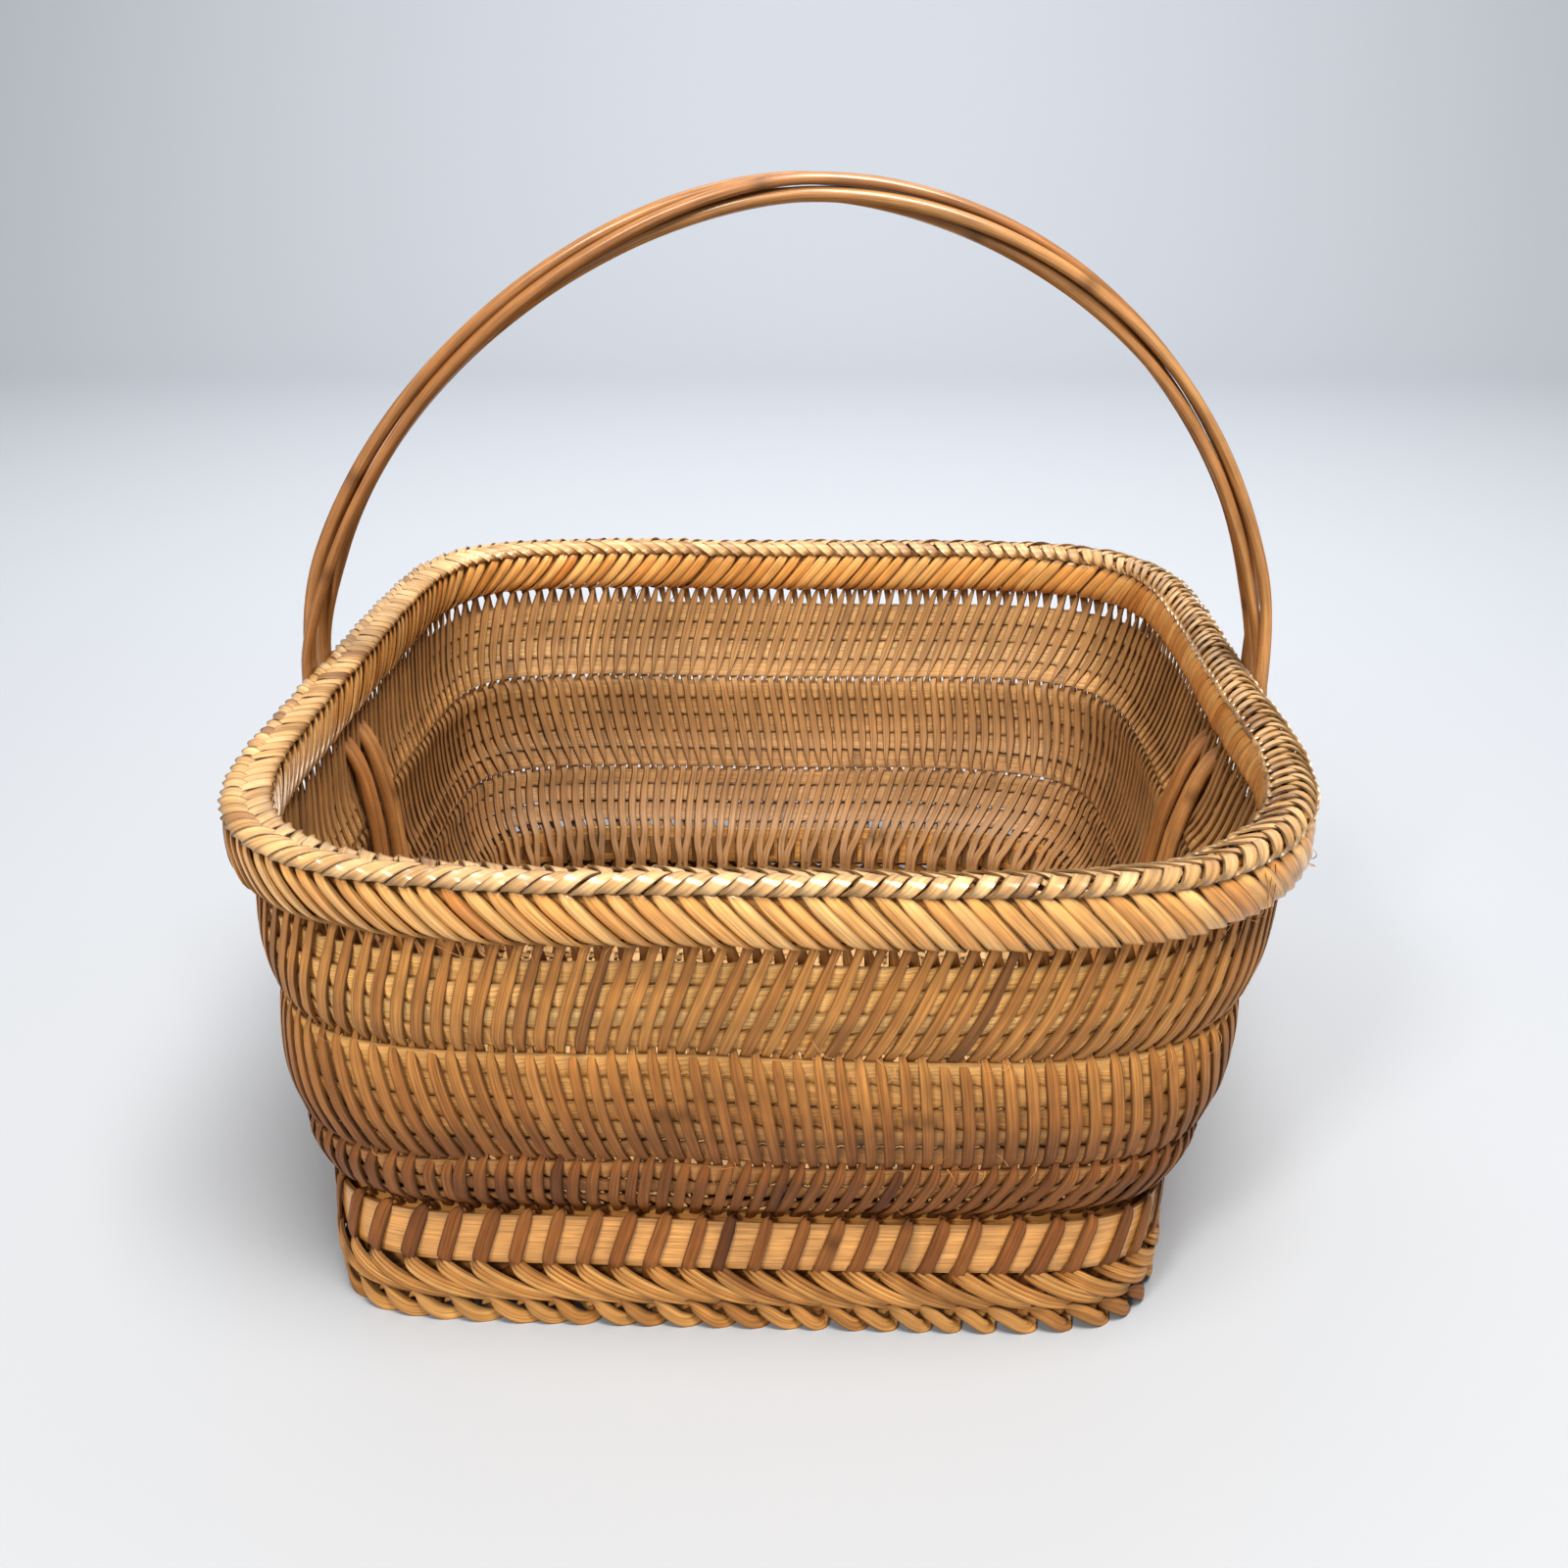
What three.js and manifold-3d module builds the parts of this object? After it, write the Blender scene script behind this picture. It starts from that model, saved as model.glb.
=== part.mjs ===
// A split-bamboo basket: a squarish tapered wall in three tiers, a lashed rim, a ringed foot and a cane handle.
// Millimetres, +Z up, the front faces -Y, and the floor it stands on is z = 0.
import * as THREE from 'three';
import { mergeVertices } from 'three/addons/utils/BufferGeometryUtils.js';
import Module from 'manifold-3d';

const wasm = await Module();
wasm.setup();

// ---- driving sizes ----
const RIM_HALF_WIDTH = 185;
const RIM_HALF_DEPTH = 190;
const RIM_TOP_Z = 195;
const RIM_BOTTOM_Z = 172;
const RIM_SQUARENESS = 4.6;
const FOOT_SQUARENESS = 6.0;
const HANDLE_TOP_Z = 380;

// ---- clearances ----
const LAYER_GAP = 0.9;
const RING_GAP = 0.4;
const LASH_GAP = 1.0;

// ---- wall: stakes and weavers ----
const STAKE_COUNT = 36;
const STAKE_WIDTH = 7;
const STAKE_THICK = 0.9;
const STAKE_ROOT = 0.6;
const WEAVER_THICK = 1.8;
const WEAVER_EDGE_GAP = 0.8;
const INNER_LAYER = STAKE_THICK + WEAVER_THICK + 2 * LAYER_GAP;
const WAIST_1_Z = 126;
const WAIST_2_Z = 79;
const UNDER_RIM_Z = 167.5;
const UPPER_TIER = { bottom: 131, bulge: 147, top: 163, hoops: 4 };
const MIDDLE_TIER = { bottom: 84, bulge: 98.8, top: 121, hoops: 5 };
const LOWER_TIER = { bottom: 50, top: 74, hoops: 3 };
// How far the wall's outer face stands inside the rim's outer face, at each height.
const WALL_PROFILE = [
  [LOWER_TIER.bottom, 33.8],
  [LOWER_TIER.top, 22.4],
  [MIDDLE_TIER.bottom, 20.4],
  [MIDDLE_TIER.bulge, 16.4],
  [MIDDLE_TIER.top, 14.8],
  [UPPER_TIER.bottom, 12.8],
  [UPPER_TIER.bulge, 8.6],
  [UPPER_TIER.top, 7.4],
];

// The basket leans: its foot stands this far to one side of its rim.
const FOOT_LEAN_X = -9;

// ---- rim ----
const LASH_THICK = 1.4;
const LASH_COUNT = STAKE_COUNT;
const LASH_WIDTH = 15;
const LASH_SLANT = 0.5;
const LASH_PHASE = 0.25;
const LASH_ARM_WIDTH = 9;
const LASH_HEM = 2;
const RIM_HOOP_THICK = 2.0;
const RIM_HOOP_BOTTOM_Z = 174.4;
const RIM_HOOP_TOP_Z = 189.8;
const BRAID_BOTTOM_Z = 190.4;
const BRAID_LOBE = 0.7;
const BRAID_SHOULDER = 1.6;
const BRAID_EDGE = 1.2;
const BRAID_CREST_EDGE = 2.4;
const RIM_OUTER_HOOP_INSET = LASH_THICK + LASH_GAP;
const RIGHT_RING_INSET = RIM_OUTER_HOOP_INSET + RIM_HOOP_THICK + LAYER_GAP;
const LEFT_RING_INSET = RIGHT_RING_INSET + STAKE_THICK + LAYER_GAP;
const RIM_INNER_HOOP_INSET = LEFT_RING_INSET + STAKE_THICK + RING_GAP;
const LASH_INNER_INSET = RIM_INNER_HOOP_INSET + RIM_HOOP_THICK + LASH_GAP;
const RIM_THICK = LASH_INNER_INSET + LASH_THICK;

// ---- foot ----
const FOOT_HOOP_INSET = 31.4;
const FOOT_HOOP_THICK = 1.9;
const FOOT_HOOP_BOTTOM_Z = 27;
const FOOT_HOOP_TOP_Z = 47.4;
const STAKE_FOOT_INSET = WALL_PROFILE[0][1];
const STAKE_FOOT_Z = 29.6;
const TIE_COUNT = STAKE_COUNT;
const TIE_WIDTH = 3;
const TIE_THICK = 0.9;
const TIE_LEAN = 0.35;
const TIE_PHASE = 0.75;
const TIE_RING_INSET = STAKE_FOOT_INSET + INNER_LAYER + STAKE_THICK + 1.5 * LAYER_GAP;
const TIE_RING_THICK = 1;
const LEAF_COUNT = 32;
const LEAF_BOTTOM_Z = 10.4;
const LEAF_TOP_Z = 24.8;
const LEAF_RELIEF = 1.2;
const LEAF_ROW_THICK = 6.2;
const LEAF_SET_BACK = 0.4;
const FOOT_BRAID_TOP_Z = 10;
const FOOT_BRAID_THICK = 9.6;
const FOOT_BRAID_PROUD = 0.4;
const FOOT_BRAID_ROUND = 1.6;
const FOOT_BRAID_LOBE = 0.5;

// ---- floor ----
const FLOOR_BOTTOM_Z = 18;
const FLOOR_STRIP_THICK = 2.2;
const FLOOR_STRIP_OVERLAP = 0.2;
const FLOOR_STRIP_WIDTH = 34;
const FLOOR_STRIP_PITCH = 42;
const FLOOR_STRIPS = 7;
const FLOOR_INSET = TIE_RING_INSET + TIE_RING_THICK + RING_GAP;

// ---- handle ----
const CANE_DIAMETER = 3.6;
const CANE_SIDES = 6;
const CANE_GAP = 0.5;
const CANE_PAIR_HALF = (CANE_DIAMETER + CANE_GAP) / 2;
const BUNDLE_HALF = CANE_PAIR_HALF;
const HANDLE_HALF_TURNS = 1;
const HANDLE_SPRING_Z = 192;
const HANDLE_SIDE_INSET = -2.9;
const HANDLE_ARCH_STEPS = 18;
const HANDLE_LEFT_SQUARENESS = 1.72;
const HANDLE_RIGHT_SQUARENESS = 1.95;
const HANDLE_APEX_X = 9;
const BUNDLE_GATHER = 0.28;
// One leg from the floor up the inside, out under the rim and up its outside: height, inset, spread of the pair.
const LEG_PATH = [
  [25.5, 45.2, 1.9],
  [52, 44.2, 1.7],
  [77, 31.0, 1.5],
  [100, 26.0, 1.3],
  [126, 23.0, 1.15],
  [150, 17.6, 1.0],
  [160.5, 16.2, 1.0],
  [165.2, 13.4, 1.0],
  [167, 9.4, 1.0],
  [167.3, 3.4, 1.0],
  [169, -0.8, 1.0],
  [173, -2.7, 1.0],
  [182, HANDLE_SIDE_INSET, 1.0],
];

// ---- colours ----
const CANE_TAN = 0xb98b52;
const STAKE_BROWN = 0x8f6338;
const WEAVER_GOLD = 0xc29a62;
const LASH_GOLD = 0xc08a4a;
const FOOT_TAN = 0xa97a45;
const FLOOR_BROWN = 0x8a6a45;

const FULL_TURN = Math.PI * 2;
const ARC_STEPS = 2000;

function mix(a, b, t) {
  return a + (b - a) * t;
}

function clamp01(v) {
  return Math.min(1, Math.max(0, v));
}

function smooth(v) {
  const t = clamp01(v);
  return t * t * (3 - 2 * t);
}

function squareness(z) {
  return mix(FOOT_SQUARENESS, RIM_SQUARENESS, clamp01(z / RIM_BOTTOM_Z));
}

// The basket's outline is a rounded square, given by its polar radius.
function outline(angle, inset, power) {
  const a = RIM_HALF_WIDTH - inset;
  const b = RIM_HALF_DEPTH - inset;
  const c = Math.cos(angle);
  const s = Math.sin(angle);
  const sum = Math.pow(Math.abs(c) / a, power) + Math.pow(Math.abs(s) / b, power);
  const radius = Math.pow(sum, -1 / power);
  return [radius * c, radius * s];
}

function buildArcTable() {
  const lengths = [0];
  let last = outline(0, 0, RIM_SQUARENESS);
  for (let i = 1; i <= ARC_STEPS; i += 1) {
    const next = outline((FULL_TURN * i) / ARC_STEPS, 0, RIM_SQUARENESS);
    lengths.push(lengths[i - 1] + Math.hypot(next[0] - last[0], next[1] - last[1]));
    last = next;
  }
  return lengths;
}

const ARC_TABLE = buildArcTable();
const RIM_GIRTH = ARC_TABLE[ARC_STEPS];
// Each pair of canes leaves through the window halfway between two stakes.
const CANE_PAIR_CENTRE = RIM_GIRTH / STAKE_COUNT / 4;

// Turns a fraction of the way round the rim into the polar angle there.
function angleAt(turn) {
  const whole = Math.floor(turn);
  const want = (turn - whole) * RIM_GIRTH;
  let low = 0;
  let high = ARC_STEPS;
  while (high - low > 1) {
    const half = (low + high) >> 1;
    if (ARC_TABLE[half] <= want) low = half;
    else high = half;
  }
  const part = (want - ARC_TABLE[low]) / (ARC_TABLE[low + 1] - ARC_TABLE[low]);
  return FULL_TURN * (whole + (low + part) / ARC_STEPS);
}

function wallPoint(angle, inset, z) {
  const [x, y] = outline(angle, inset, squareness(z));
  return new THREE.Vector3(x, y, z);
}

function girthAt(inset) {
  const meanHalf = (RIM_HALF_WIDTH + RIM_HALF_DEPTH) / 2;
  return RIM_GIRTH * (1 - inset / meanHalf);
}

function wallInset(z) {
  const last = WALL_PROFILE.length - 1;
  if (z <= WALL_PROFILE[0][0]) return WALL_PROFILE[0][1];
  for (let i = 0; i < last; i += 1) {
    const [z0, inset0] = WALL_PROFILE[i];
    const [z1, inset1] = WALL_PROFILE[i + 1];
    if (z <= z1) return mix(inset0, inset1, (z - z0) / (z1 - z0));
  }
  return WALL_PROFILE[last][1];
}

// Angles round a ring, spaced so that every straight side strays equally little from the curve.
function ringAngles(count) {
  const bend = [0];
  const at = (i) => outline((FULL_TURN * i) / ARC_STEPS, 0, MIDDLE_SQUARENESS);
  for (let i = 1; i <= ARC_STEPS; i += 1) {
    const [x0, y0] = at(i - 1);
    const [x1, y1] = at(i);
    const [x2, y2] = at(i + 1);
    const before = Math.atan2(y1 - y0, x1 - x0);
    const after = Math.atan2(y2 - y1, x2 - x1);
    const turned = Math.abs(Math.atan2(Math.sin(after - before), Math.cos(after - before)));
    bend.push(bend[i - 1] + Math.sqrt(turned * Math.hypot(x1 - x0, y1 - y0)));
  }
  const angles = [];
  let step = 0;
  for (let i = 0; i < count; i += 1) {
    const want = (bend[ARC_STEPS] * i) / count;
    while (bend[step + 1] <= want) step += 1;
    const part = (want - bend[step]) / (bend[step + 1] - bend[step]);
    angles.push((FULL_TURN * (step + part)) / ARC_STEPS);
  }
  return angles;
}

const MIDDLE_SQUARENESS = (RIM_SQUARENESS + FOOT_SQUARENESS) / 2;
const RING_SIDES = 44;
const RING_ANGLES = ringAngles(RING_SIDES);
const LOBED_ANGLES = 64;

// A solid skinned over sections that all have the same number of points.
function loft(sections, closed) {
  const count = sections.length;
  const size = sections[0].length;
  const positions = [];
  const faces = [];
  for (const section of sections) {
    for (const p of section) positions.push(p.x, p.y, p.z);
  }
  const spans = closed ? count : count - 1;
  for (let i = 0; i < spans; i += 1) {
    const a = i * size;
    const b = ((i + 1) % count) * size;
    for (let j = 0; j < size; j += 1) {
      const k = (j + 1) % size;
      faces.push(a + j, b + j, b + k);
      faces.push(a + j, b + k, a + k);
    }
  }
  if (!closed) {
    const end = (count - 1) * size;
    for (let j = 1; j < size - 1; j += 1) {
      faces.push(0, j, j + 1);
      faces.push(end, end + j + 1, end + j);
    }
  }
  return facesOut(positions, faces);
}

function facesOut(positions, faces) {
  let volume = 0;
  const a = new THREE.Vector3();
  const b = new THREE.Vector3();
  const c = new THREE.Vector3();
  for (let i = 0; i < faces.length; i += 3) {
    a.fromArray(positions, faces[i] * 3);
    b.fromArray(positions, faces[i + 1] * 3);
    c.fromArray(positions, faces[i + 2] * 3);
    volume += a.dot(b.cross(c));
  }
  if (volume < 0) faces.reverse();
  const geometry = new THREE.BufferGeometry();
  geometry.setAttribute('position', new THREE.Float32BufferAttribute(positions, 3));
  geometry.setIndex(faces);
  return geometry;
}

function toManifold(geometry) {
  const plain = geometry.clone();
  plain.deleteAttribute('normal');
  plain.deleteAttribute('uv');
  const merged = mergeVertices(plain, 1e-4);
  return new wasm.Manifold(new wasm.Mesh({
    numProp: 3,
    vertProperties: new Float32Array(merged.attributes.position.array),
    triVerts: new Uint32Array(merged.index.array),
  }));
}

function fromManifold(manifold) {
  const mesh = manifold.getMesh();
  const geometry = new THREE.BufferGeometry();
  geometry.setAttribute('position', new THREE.BufferAttribute(mesh.vertProperties, 3));
  geometry.setIndex(new THREE.BufferAttribute(mesh.triVerts, 1));
  return geometry;
}

function joinAll(geometries) {
  return wasm.Manifold.union(geometries.map(toManifold));
}

// A band that goes right round, with the profile [inset, z] given by a function of the polar angle.
function ringSolid(angles, profileAt) {
  const sections = angles.map((angle) => profileAt(angle).map(([inset, z]) => wallPoint(angle, inset, z)));
  return loft(sections, true);
}

function flatRing(inset, thick, bottomZ, topZ) {
  const profile = [
    [inset, bottomZ],
    [inset, topZ],
    [inset + thick, topZ],
    [inset + thick, bottomZ],
  ];
  return ringSolid(RING_ANGLES, () => profile);
}

// A flat strip through stations of {turn, inset, z}; its broad face follows the wall.
function wallStrip(stations, width, thick) {
  const sections = stations.map(({ turn, inset, z }) => {
    const half = width / 2 / girthAt(inset);
    const left = angleAt(turn - half);
    const right = angleAt(turn + half);
    return [
      wallPoint(left, inset, z),
      wallPoint(right, inset, z),
      wallPoint(right, inset + thick, z),
      wallPoint(left, inset + thick, z),
    ];
  });
  return loft(sections, false);
}

// How many stake spacings a right-leaning stake has moved round, counted from the upper waist.
function stakeLean(z) {
  if (z >= WAIST_1_Z) return (0.5 * (z - WAIST_1_Z)) / (UNDER_RIM_Z - WAIST_1_Z);
  return (0.5 * (z - WAIST_1_Z)) / (WAIST_1_Z - WAIST_2_Z);
}

// A set is outside the weavers in some tiers and inside them in the others.
function stakeStations(outsideUpperAndLower, ringInset) {
  const outer = outsideUpperAndLower ? 0 : INNER_LAYER;
  const inner = outsideUpperAndLower ? INNER_LAYER : 0;
  const stations = [[RIM_HOOP_BOTTOM_Z + STAKE_ROOT, ringInset]];
  for (const z of [UPPER_TIER.top, UPPER_TIER.bulge, UPPER_TIER.bottom]) {
    stations.push([z, wallInset(z) + outer]);
  }
  for (const z of [MIDDLE_TIER.top, MIDDLE_TIER.bulge, MIDDLE_TIER.bottom]) {
    stations.push([z, wallInset(z) + inner]);
  }
  for (const z of [LOWER_TIER.top, LOWER_TIER.bottom]) {
    stations.push([z, wallInset(z) + outer]);
  }
  stations.push([STAKE_FOOT_Z, STAKE_FOOT_INSET + outer]);
  return stations;
}

function stakeSet(direction, phase, outsideUpperAndLower, ringInset) {
  const pieces = [flatRing(ringInset, STAKE_THICK, RIM_HOOP_BOTTOM_Z, RIM_HOOP_TOP_Z)];
  const path = stakeStations(outsideUpperAndLower, ringInset);
  for (let k = 0; k < STAKE_COUNT; k += 1) {
    const stations = path.map(([z, inset]) => ({
      turn: (k + phase + direction * stakeLean(z)) / STAKE_COUNT,
      inset,
      z,
    }));
    pieces.push(wallStrip(stations, STAKE_WIDTH, STAKE_THICK));
  }
  return fromManifold(joinAll(pieces));
}

function weaverHoop(bottomZ, topZ) {
  const low = wallInset(bottomZ) + STAKE_THICK + LAYER_GAP;
  const high = wallInset(topZ) + STAKE_THICK + LAYER_GAP;
  const profile = [
    [low, bottomZ],
    [high, topZ],
    [high + WEAVER_THICK, topZ],
    [low + WEAVER_THICK, bottomZ],
  ];
  return ringSolid(RING_ANGLES, () => profile);
}

// The strips of the rim's lashing run down its outside, under it between the stakes and up its inside.
function rimLashing() {
  const innerInset = RIM_THICK - LASH_THICK;
  const topZ = BRAID_BOTTOM_Z - RING_GAP;
  const armTop = RIM_BOTTOM_Z + LASH_THICK;
  const pieces = [flatRing(0, LASH_THICK, RIM_BOTTOM_Z, RIM_BOTTOM_Z + LASH_HEM)];
  for (let k = 0; k < LASH_COUNT; k += 1) {
    const bottom = (k + LASH_PHASE) / LASH_COUNT;
    const top = (k + LASH_PHASE - LASH_SLANT) / LASH_COUNT;
    for (const inset of [0, innerInset]) {
      const slant = [
        { turn: top, inset, z: topZ },
        { turn: bottom, inset, z: RIM_BOTTOM_Z },
      ];
      pieces.push(wallStrip(slant, LASH_WIDTH, LASH_THICK));
    }
    const arm = [RIM_BOTTOM_Z, armTop].map((z) => ({ turn: bottom, inset: LASH_THICK / 2, z }));
    pieces.push(wallStrip(arm, LASH_ARM_WIDTH, RIM_THICK - LASH_THICK));
  }
  return fromManifold(joinAll(pieces));
}

function lobedAngles(count) {
  return Array.from({ length: count }, (_, i) => angleAt(i / count));
}

// The plait along the rim's top: lobes rise and fall in step on its two sides.
function rimBraid() {
  const crest = RIM_TOP_Z;
  const shoulder = BRAID_BOTTOM_Z + BRAID_SHOULDER;
  return ringSolid(lobedAngles(LOBED_ANGLES), (angle) => {
    const lobe = BRAID_LOBE * Math.cos((angle / FULL_TURN) * LOBED_ANGLES * Math.PI);
    return [
      [BRAID_EDGE, BRAID_BOTTOM_Z],
      [0, shoulder],
      [BRAID_CREST_EDGE, crest - BRAID_LOBE + lobe],
      [RIM_THICK - BRAID_CREST_EDGE, crest - BRAID_LOBE - lobe],
      [RIM_THICK, shoulder],
      [RIM_THICK - BRAID_EDGE, BRAID_BOTTOM_Z],
    ];
  });
}

function footHoop() {
  return flatRing(FOOT_HOOP_INSET, FOOT_HOOP_THICK, FOOT_HOOP_BOTTOM_Z, FOOT_HOOP_TOP_Z);
}

// A ring of twine inside the foot, with a tie out over the hoop at every stake.
function footTies() {
  const overZ = FOOT_HOOP_TOP_Z + RING_GAP;
  const underZ = FOOT_HOOP_BOTTOM_Z - RING_GAP - TIE_THICK;
  const frontInset = FOOT_HOOP_INSET - LAYER_GAP - TIE_THICK;
  const reach = TIE_RING_INSET + TIE_RING_THICK / 2;
  const pieces = [flatRing(TIE_RING_INSET, TIE_RING_THICK, underZ, overZ + TIE_THICK)];
  for (let k = 0; k < TIE_COUNT; k += 1) {
    const top = (k + TIE_PHASE) / TIE_COUNT;
    const bottom = (k + TIE_PHASE - TIE_LEAN) / TIE_COUNT;
    const arm = [overZ, overZ + TIE_THICK].map((z) => ({ turn: top, inset: frontInset, z }));
    const front = [
      { turn: top, inset: frontInset, z: overZ + TIE_THICK / 2 },
      { turn: bottom, inset: frontInset, z: underZ },
    ];
    pieces.push(wallStrip(arm, TIE_WIDTH, reach - frontInset));
    pieces.push(wallStrip(front, TIE_WIDTH, TIE_THICK));
  }
  return fromManifold(joinAll(pieces));
}

// Long slanting strips packed side by side, seen as a ridged band.
function footLeafRow() {
  const outer = FOOT_HOOP_INSET + LEAF_SET_BACK;
  const inner = outer + LEAF_ROW_THICK;
  const edge = outer + LEAF_RELIEF + 0.3;
  const midZ = (LEAF_BOTTOM_Z + LEAF_TOP_Z) / 2;
  const crestRise = (LEAF_TOP_Z - LEAF_BOTTOM_Z) / 5;
  return ringSolid(lobedAngles(LOBED_ANGLES), (angle) => {
    const wave = (angle / FULL_TURN) * LEAF_COUNT * FULL_TURN;
    const low = LEAF_RELIEF * (0.5 + 0.5 * Math.cos(wave));
    const high = LEAF_RELIEF * (0.5 - 0.5 * Math.cos(wave));
    return [
      [edge, LEAF_BOTTOM_Z],
      [outer + low, midZ - crestRise],
      [outer + high, midZ + crestRise],
      [edge, LEAF_TOP_Z],
      [inner, LEAF_TOP_Z],
      [inner, LEAF_BOTTOM_Z],
    ];
  });
}

// The plait the basket stands on, flat underneath.
function footBraid() {
  const outer = FOOT_HOOP_INSET - FOOT_BRAID_PROUD;
  const inner = outer + FOOT_BRAID_THICK;
  const midZ = FOOT_BRAID_TOP_Z / 2;
  return ringSolid(lobedAngles(LOBED_ANGLES), (angle) => {
    const lobe = FOOT_BRAID_LOBE * Math.cos((angle / FULL_TURN) * LOBED_ANGLES * Math.PI);
    return [
      [outer + FOOT_BRAID_ROUND, 0],
      [outer + FOOT_BRAID_LOBE + lobe, midZ],
      [outer + FOOT_BRAID_ROUND, FOOT_BRAID_TOP_Z],
      [inner - FOOT_BRAID_ROUND, FOOT_BRAID_TOP_Z],
      [inner - FOOT_BRAID_LOBE + lobe, midZ],
      [inner - FOOT_BRAID_ROUND, 0],
    ];
  });
}

// Two crossing layers of strips, trimmed to the inside of the wall.
function floorMat() {
  const long = 2 * RIM_HALF_DEPTH;
  const strips = [];
  const upperZ = FLOOR_BOTTOM_Z + FLOOR_STRIP_THICK - FLOOR_STRIP_OVERLAP;
  for (let i = 0; i < FLOOR_STRIPS; i += 1) {
    const at = (i - (FLOOR_STRIPS - 1) / 2) * FLOOR_STRIP_PITCH;
    const across = new THREE.BoxGeometry(long, FLOOR_STRIP_WIDTH, FLOOR_STRIP_THICK);
    across.translate(0, at, FLOOR_BOTTOM_Z + FLOOR_STRIP_THICK / 2);
    const along = new THREE.BoxGeometry(FLOOR_STRIP_WIDTH, long, FLOOR_STRIP_THICK);
    along.translate(at, 0, upperZ + FLOOR_STRIP_THICK / 2);
    strips.push(across, along);
  }
  const trim = outlineBlock(FLOOR_INSET, 0, 2 * FLOOR_BOTTOM_Z);
  return fromManifold(joinAll(strips).intersect(toManifold(trim)));
}

function outlineBlock(inset, bottomZ, topZ) {
  const power = squareness(FLOOR_BOTTOM_Z);
  const sections = [bottomZ, topZ].map((z) => RING_ANGLES.map((angle) => {
    const [x, y] = outline(angle, inset, power);
    return new THREE.Vector3(x, y, z);
  }));
  return loft(sections, false);
}

// The handle's middle line: an arch in the x-z plane, with its top off centre and a fuller right shoulder.
function archPoint(t) {
  const angle = Math.PI * t;
  const c = Math.cos(angle);
  const s = Math.sin(angle);
  const power = c > 0 ? HANDLE_LEFT_SQUARENESS : HANDLE_RIGHT_SQUARENESS;
  const half = RIM_HALF_WIDTH - HANDLE_SIDE_INSET + (c > 0 ? HANDLE_APEX_X : -HANDLE_APEX_X);
  const rise = HANDLE_TOP_Z - BUNDLE_HALF - CANE_DIAMETER / 2 - HANDLE_SPRING_Z;
  const radius = Math.pow(Math.pow(Math.abs(c) / half, power) + Math.pow(s / rise, power), -1 / power);
  return new THREE.Vector3(HANDLE_APEX_X - radius * c, 0, HANDLE_SPRING_Z + radius * s);
}

function archNormal(t) {
  const step = 0.002;
  const ahead = archPoint(Math.min(1, t + step));
  const behind = archPoint(Math.max(0, t - step));
  const along = ahead.sub(behind).normalize();
  return new THREE.Vector3(-along.z, 0, along.x);
}

// The canes stand side by side at the rim, then gather into a twisted bundle of two by two.
function bundleOffset(t, side, outerCane) {
  const gather = clamp01(Math.min(t, 1 - t) / BUNDLE_GATHER);
  const lift = smooth(gather * 2) * BUNDLE_HALF * (outerCane ? -1 : 1);
  const pairSpot = CANE_PAIR_CENTRE + (outerCane ? CANE_PAIR_HALF : -CANE_PAIR_HALF);
  const spread = mix(pairSpot, BUNDLE_HALF, smooth(gather * 2 - 1)) * side;
  const turned = clamp01((t - BUNDLE_GATHER) / (1 - 2 * BUNDLE_GATHER));
  const twist = Math.PI * HANDLE_HALF_TURNS * smooth(turned);
  const c = Math.cos(twist);
  const s = Math.sin(twist);
  return [lift * c - spread * s, lift * s + spread * c];
}

function legPoints(sideX, spread) {
  return LEG_PATH.map(([z, inset, fan]) => {
    const x = sideX * (RIM_HALF_WIDTH - inset);
    return new THREE.Vector3(x, spread * fan, z);
  });
}

function handleCane(side, outerCane) {
  const pairSpot = CANE_PAIR_CENTRE + (outerCane ? CANE_PAIR_HALF : -CANE_PAIR_HALF);
  const points = legPoints(-1, side * pairSpot);
  for (let i = 0; i <= HANDLE_ARCH_STEPS; i += 1) {
    const t = i / HANDLE_ARCH_STEPS;
    const [outward, sideways] = bundleOffset(t, side, outerCane);
    const p = archPoint(t).addScaledVector(archNormal(t), outward);
    p.y = sideways;
    points.push(p);
  }
  const farSide = HANDLE_HALF_TURNS % 2 === 0 ? side : -side;
  points.push(...legPoints(1, farSide * pairSpot).reverse());
  return roundBar(points, CANE_DIAMETER / 2, CANE_SIDES);
}

// A round bar through points that stay close to the x-z plane.
function roundBar(points, radius, sides) {
  const sections = points.map((p, i) => {
    const before = points[Math.max(0, i - 1)];
    const after = points[Math.min(points.length - 1, i + 1)];
    const along = after.clone().sub(before).normalize();
    const flat = new THREE.Vector3(0, 1, 0);
    const out = new THREE.Vector3().crossVectors(along, flat).normalize();
    const across = new THREE.Vector3().crossVectors(out, along).normalize();
    return Array.from({ length: sides }, (_, j) => {
      const angle = (FULL_TURN * j) / sides;
      return p.clone()
        .addScaledVector(out, radius * Math.cos(angle))
        .addScaledVector(across, radius * Math.sin(angle));
    });
  });
  return loft(sections, false);
}

// How far the basket has leant to one side at a height: all of it at the foot, none at the rim.
function leanAt(z) {
  return FOOT_LEAN_X * Math.cos((Math.PI / 2) * clamp01(z / RIM_BOTTOM_Z));
}

function piece(name, geometry, color, roughness) {
  const flat = geometry.index ? geometry.toNonIndexed() : geometry;
  const at = flat.getAttribute('position');
  for (let i = 0; i < at.count; i += 1) {
    at.setX(i, at.getX(i) + leanAt(at.getZ(i)));
  }
  flat.computeVertexNormals();
  const material = new THREE.MeshStandardMaterial({ color, roughness, metalness: 0 });
  const mesh = new THREE.Mesh(flat, material);
  mesh.name = name;
  return mesh;
}

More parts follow.
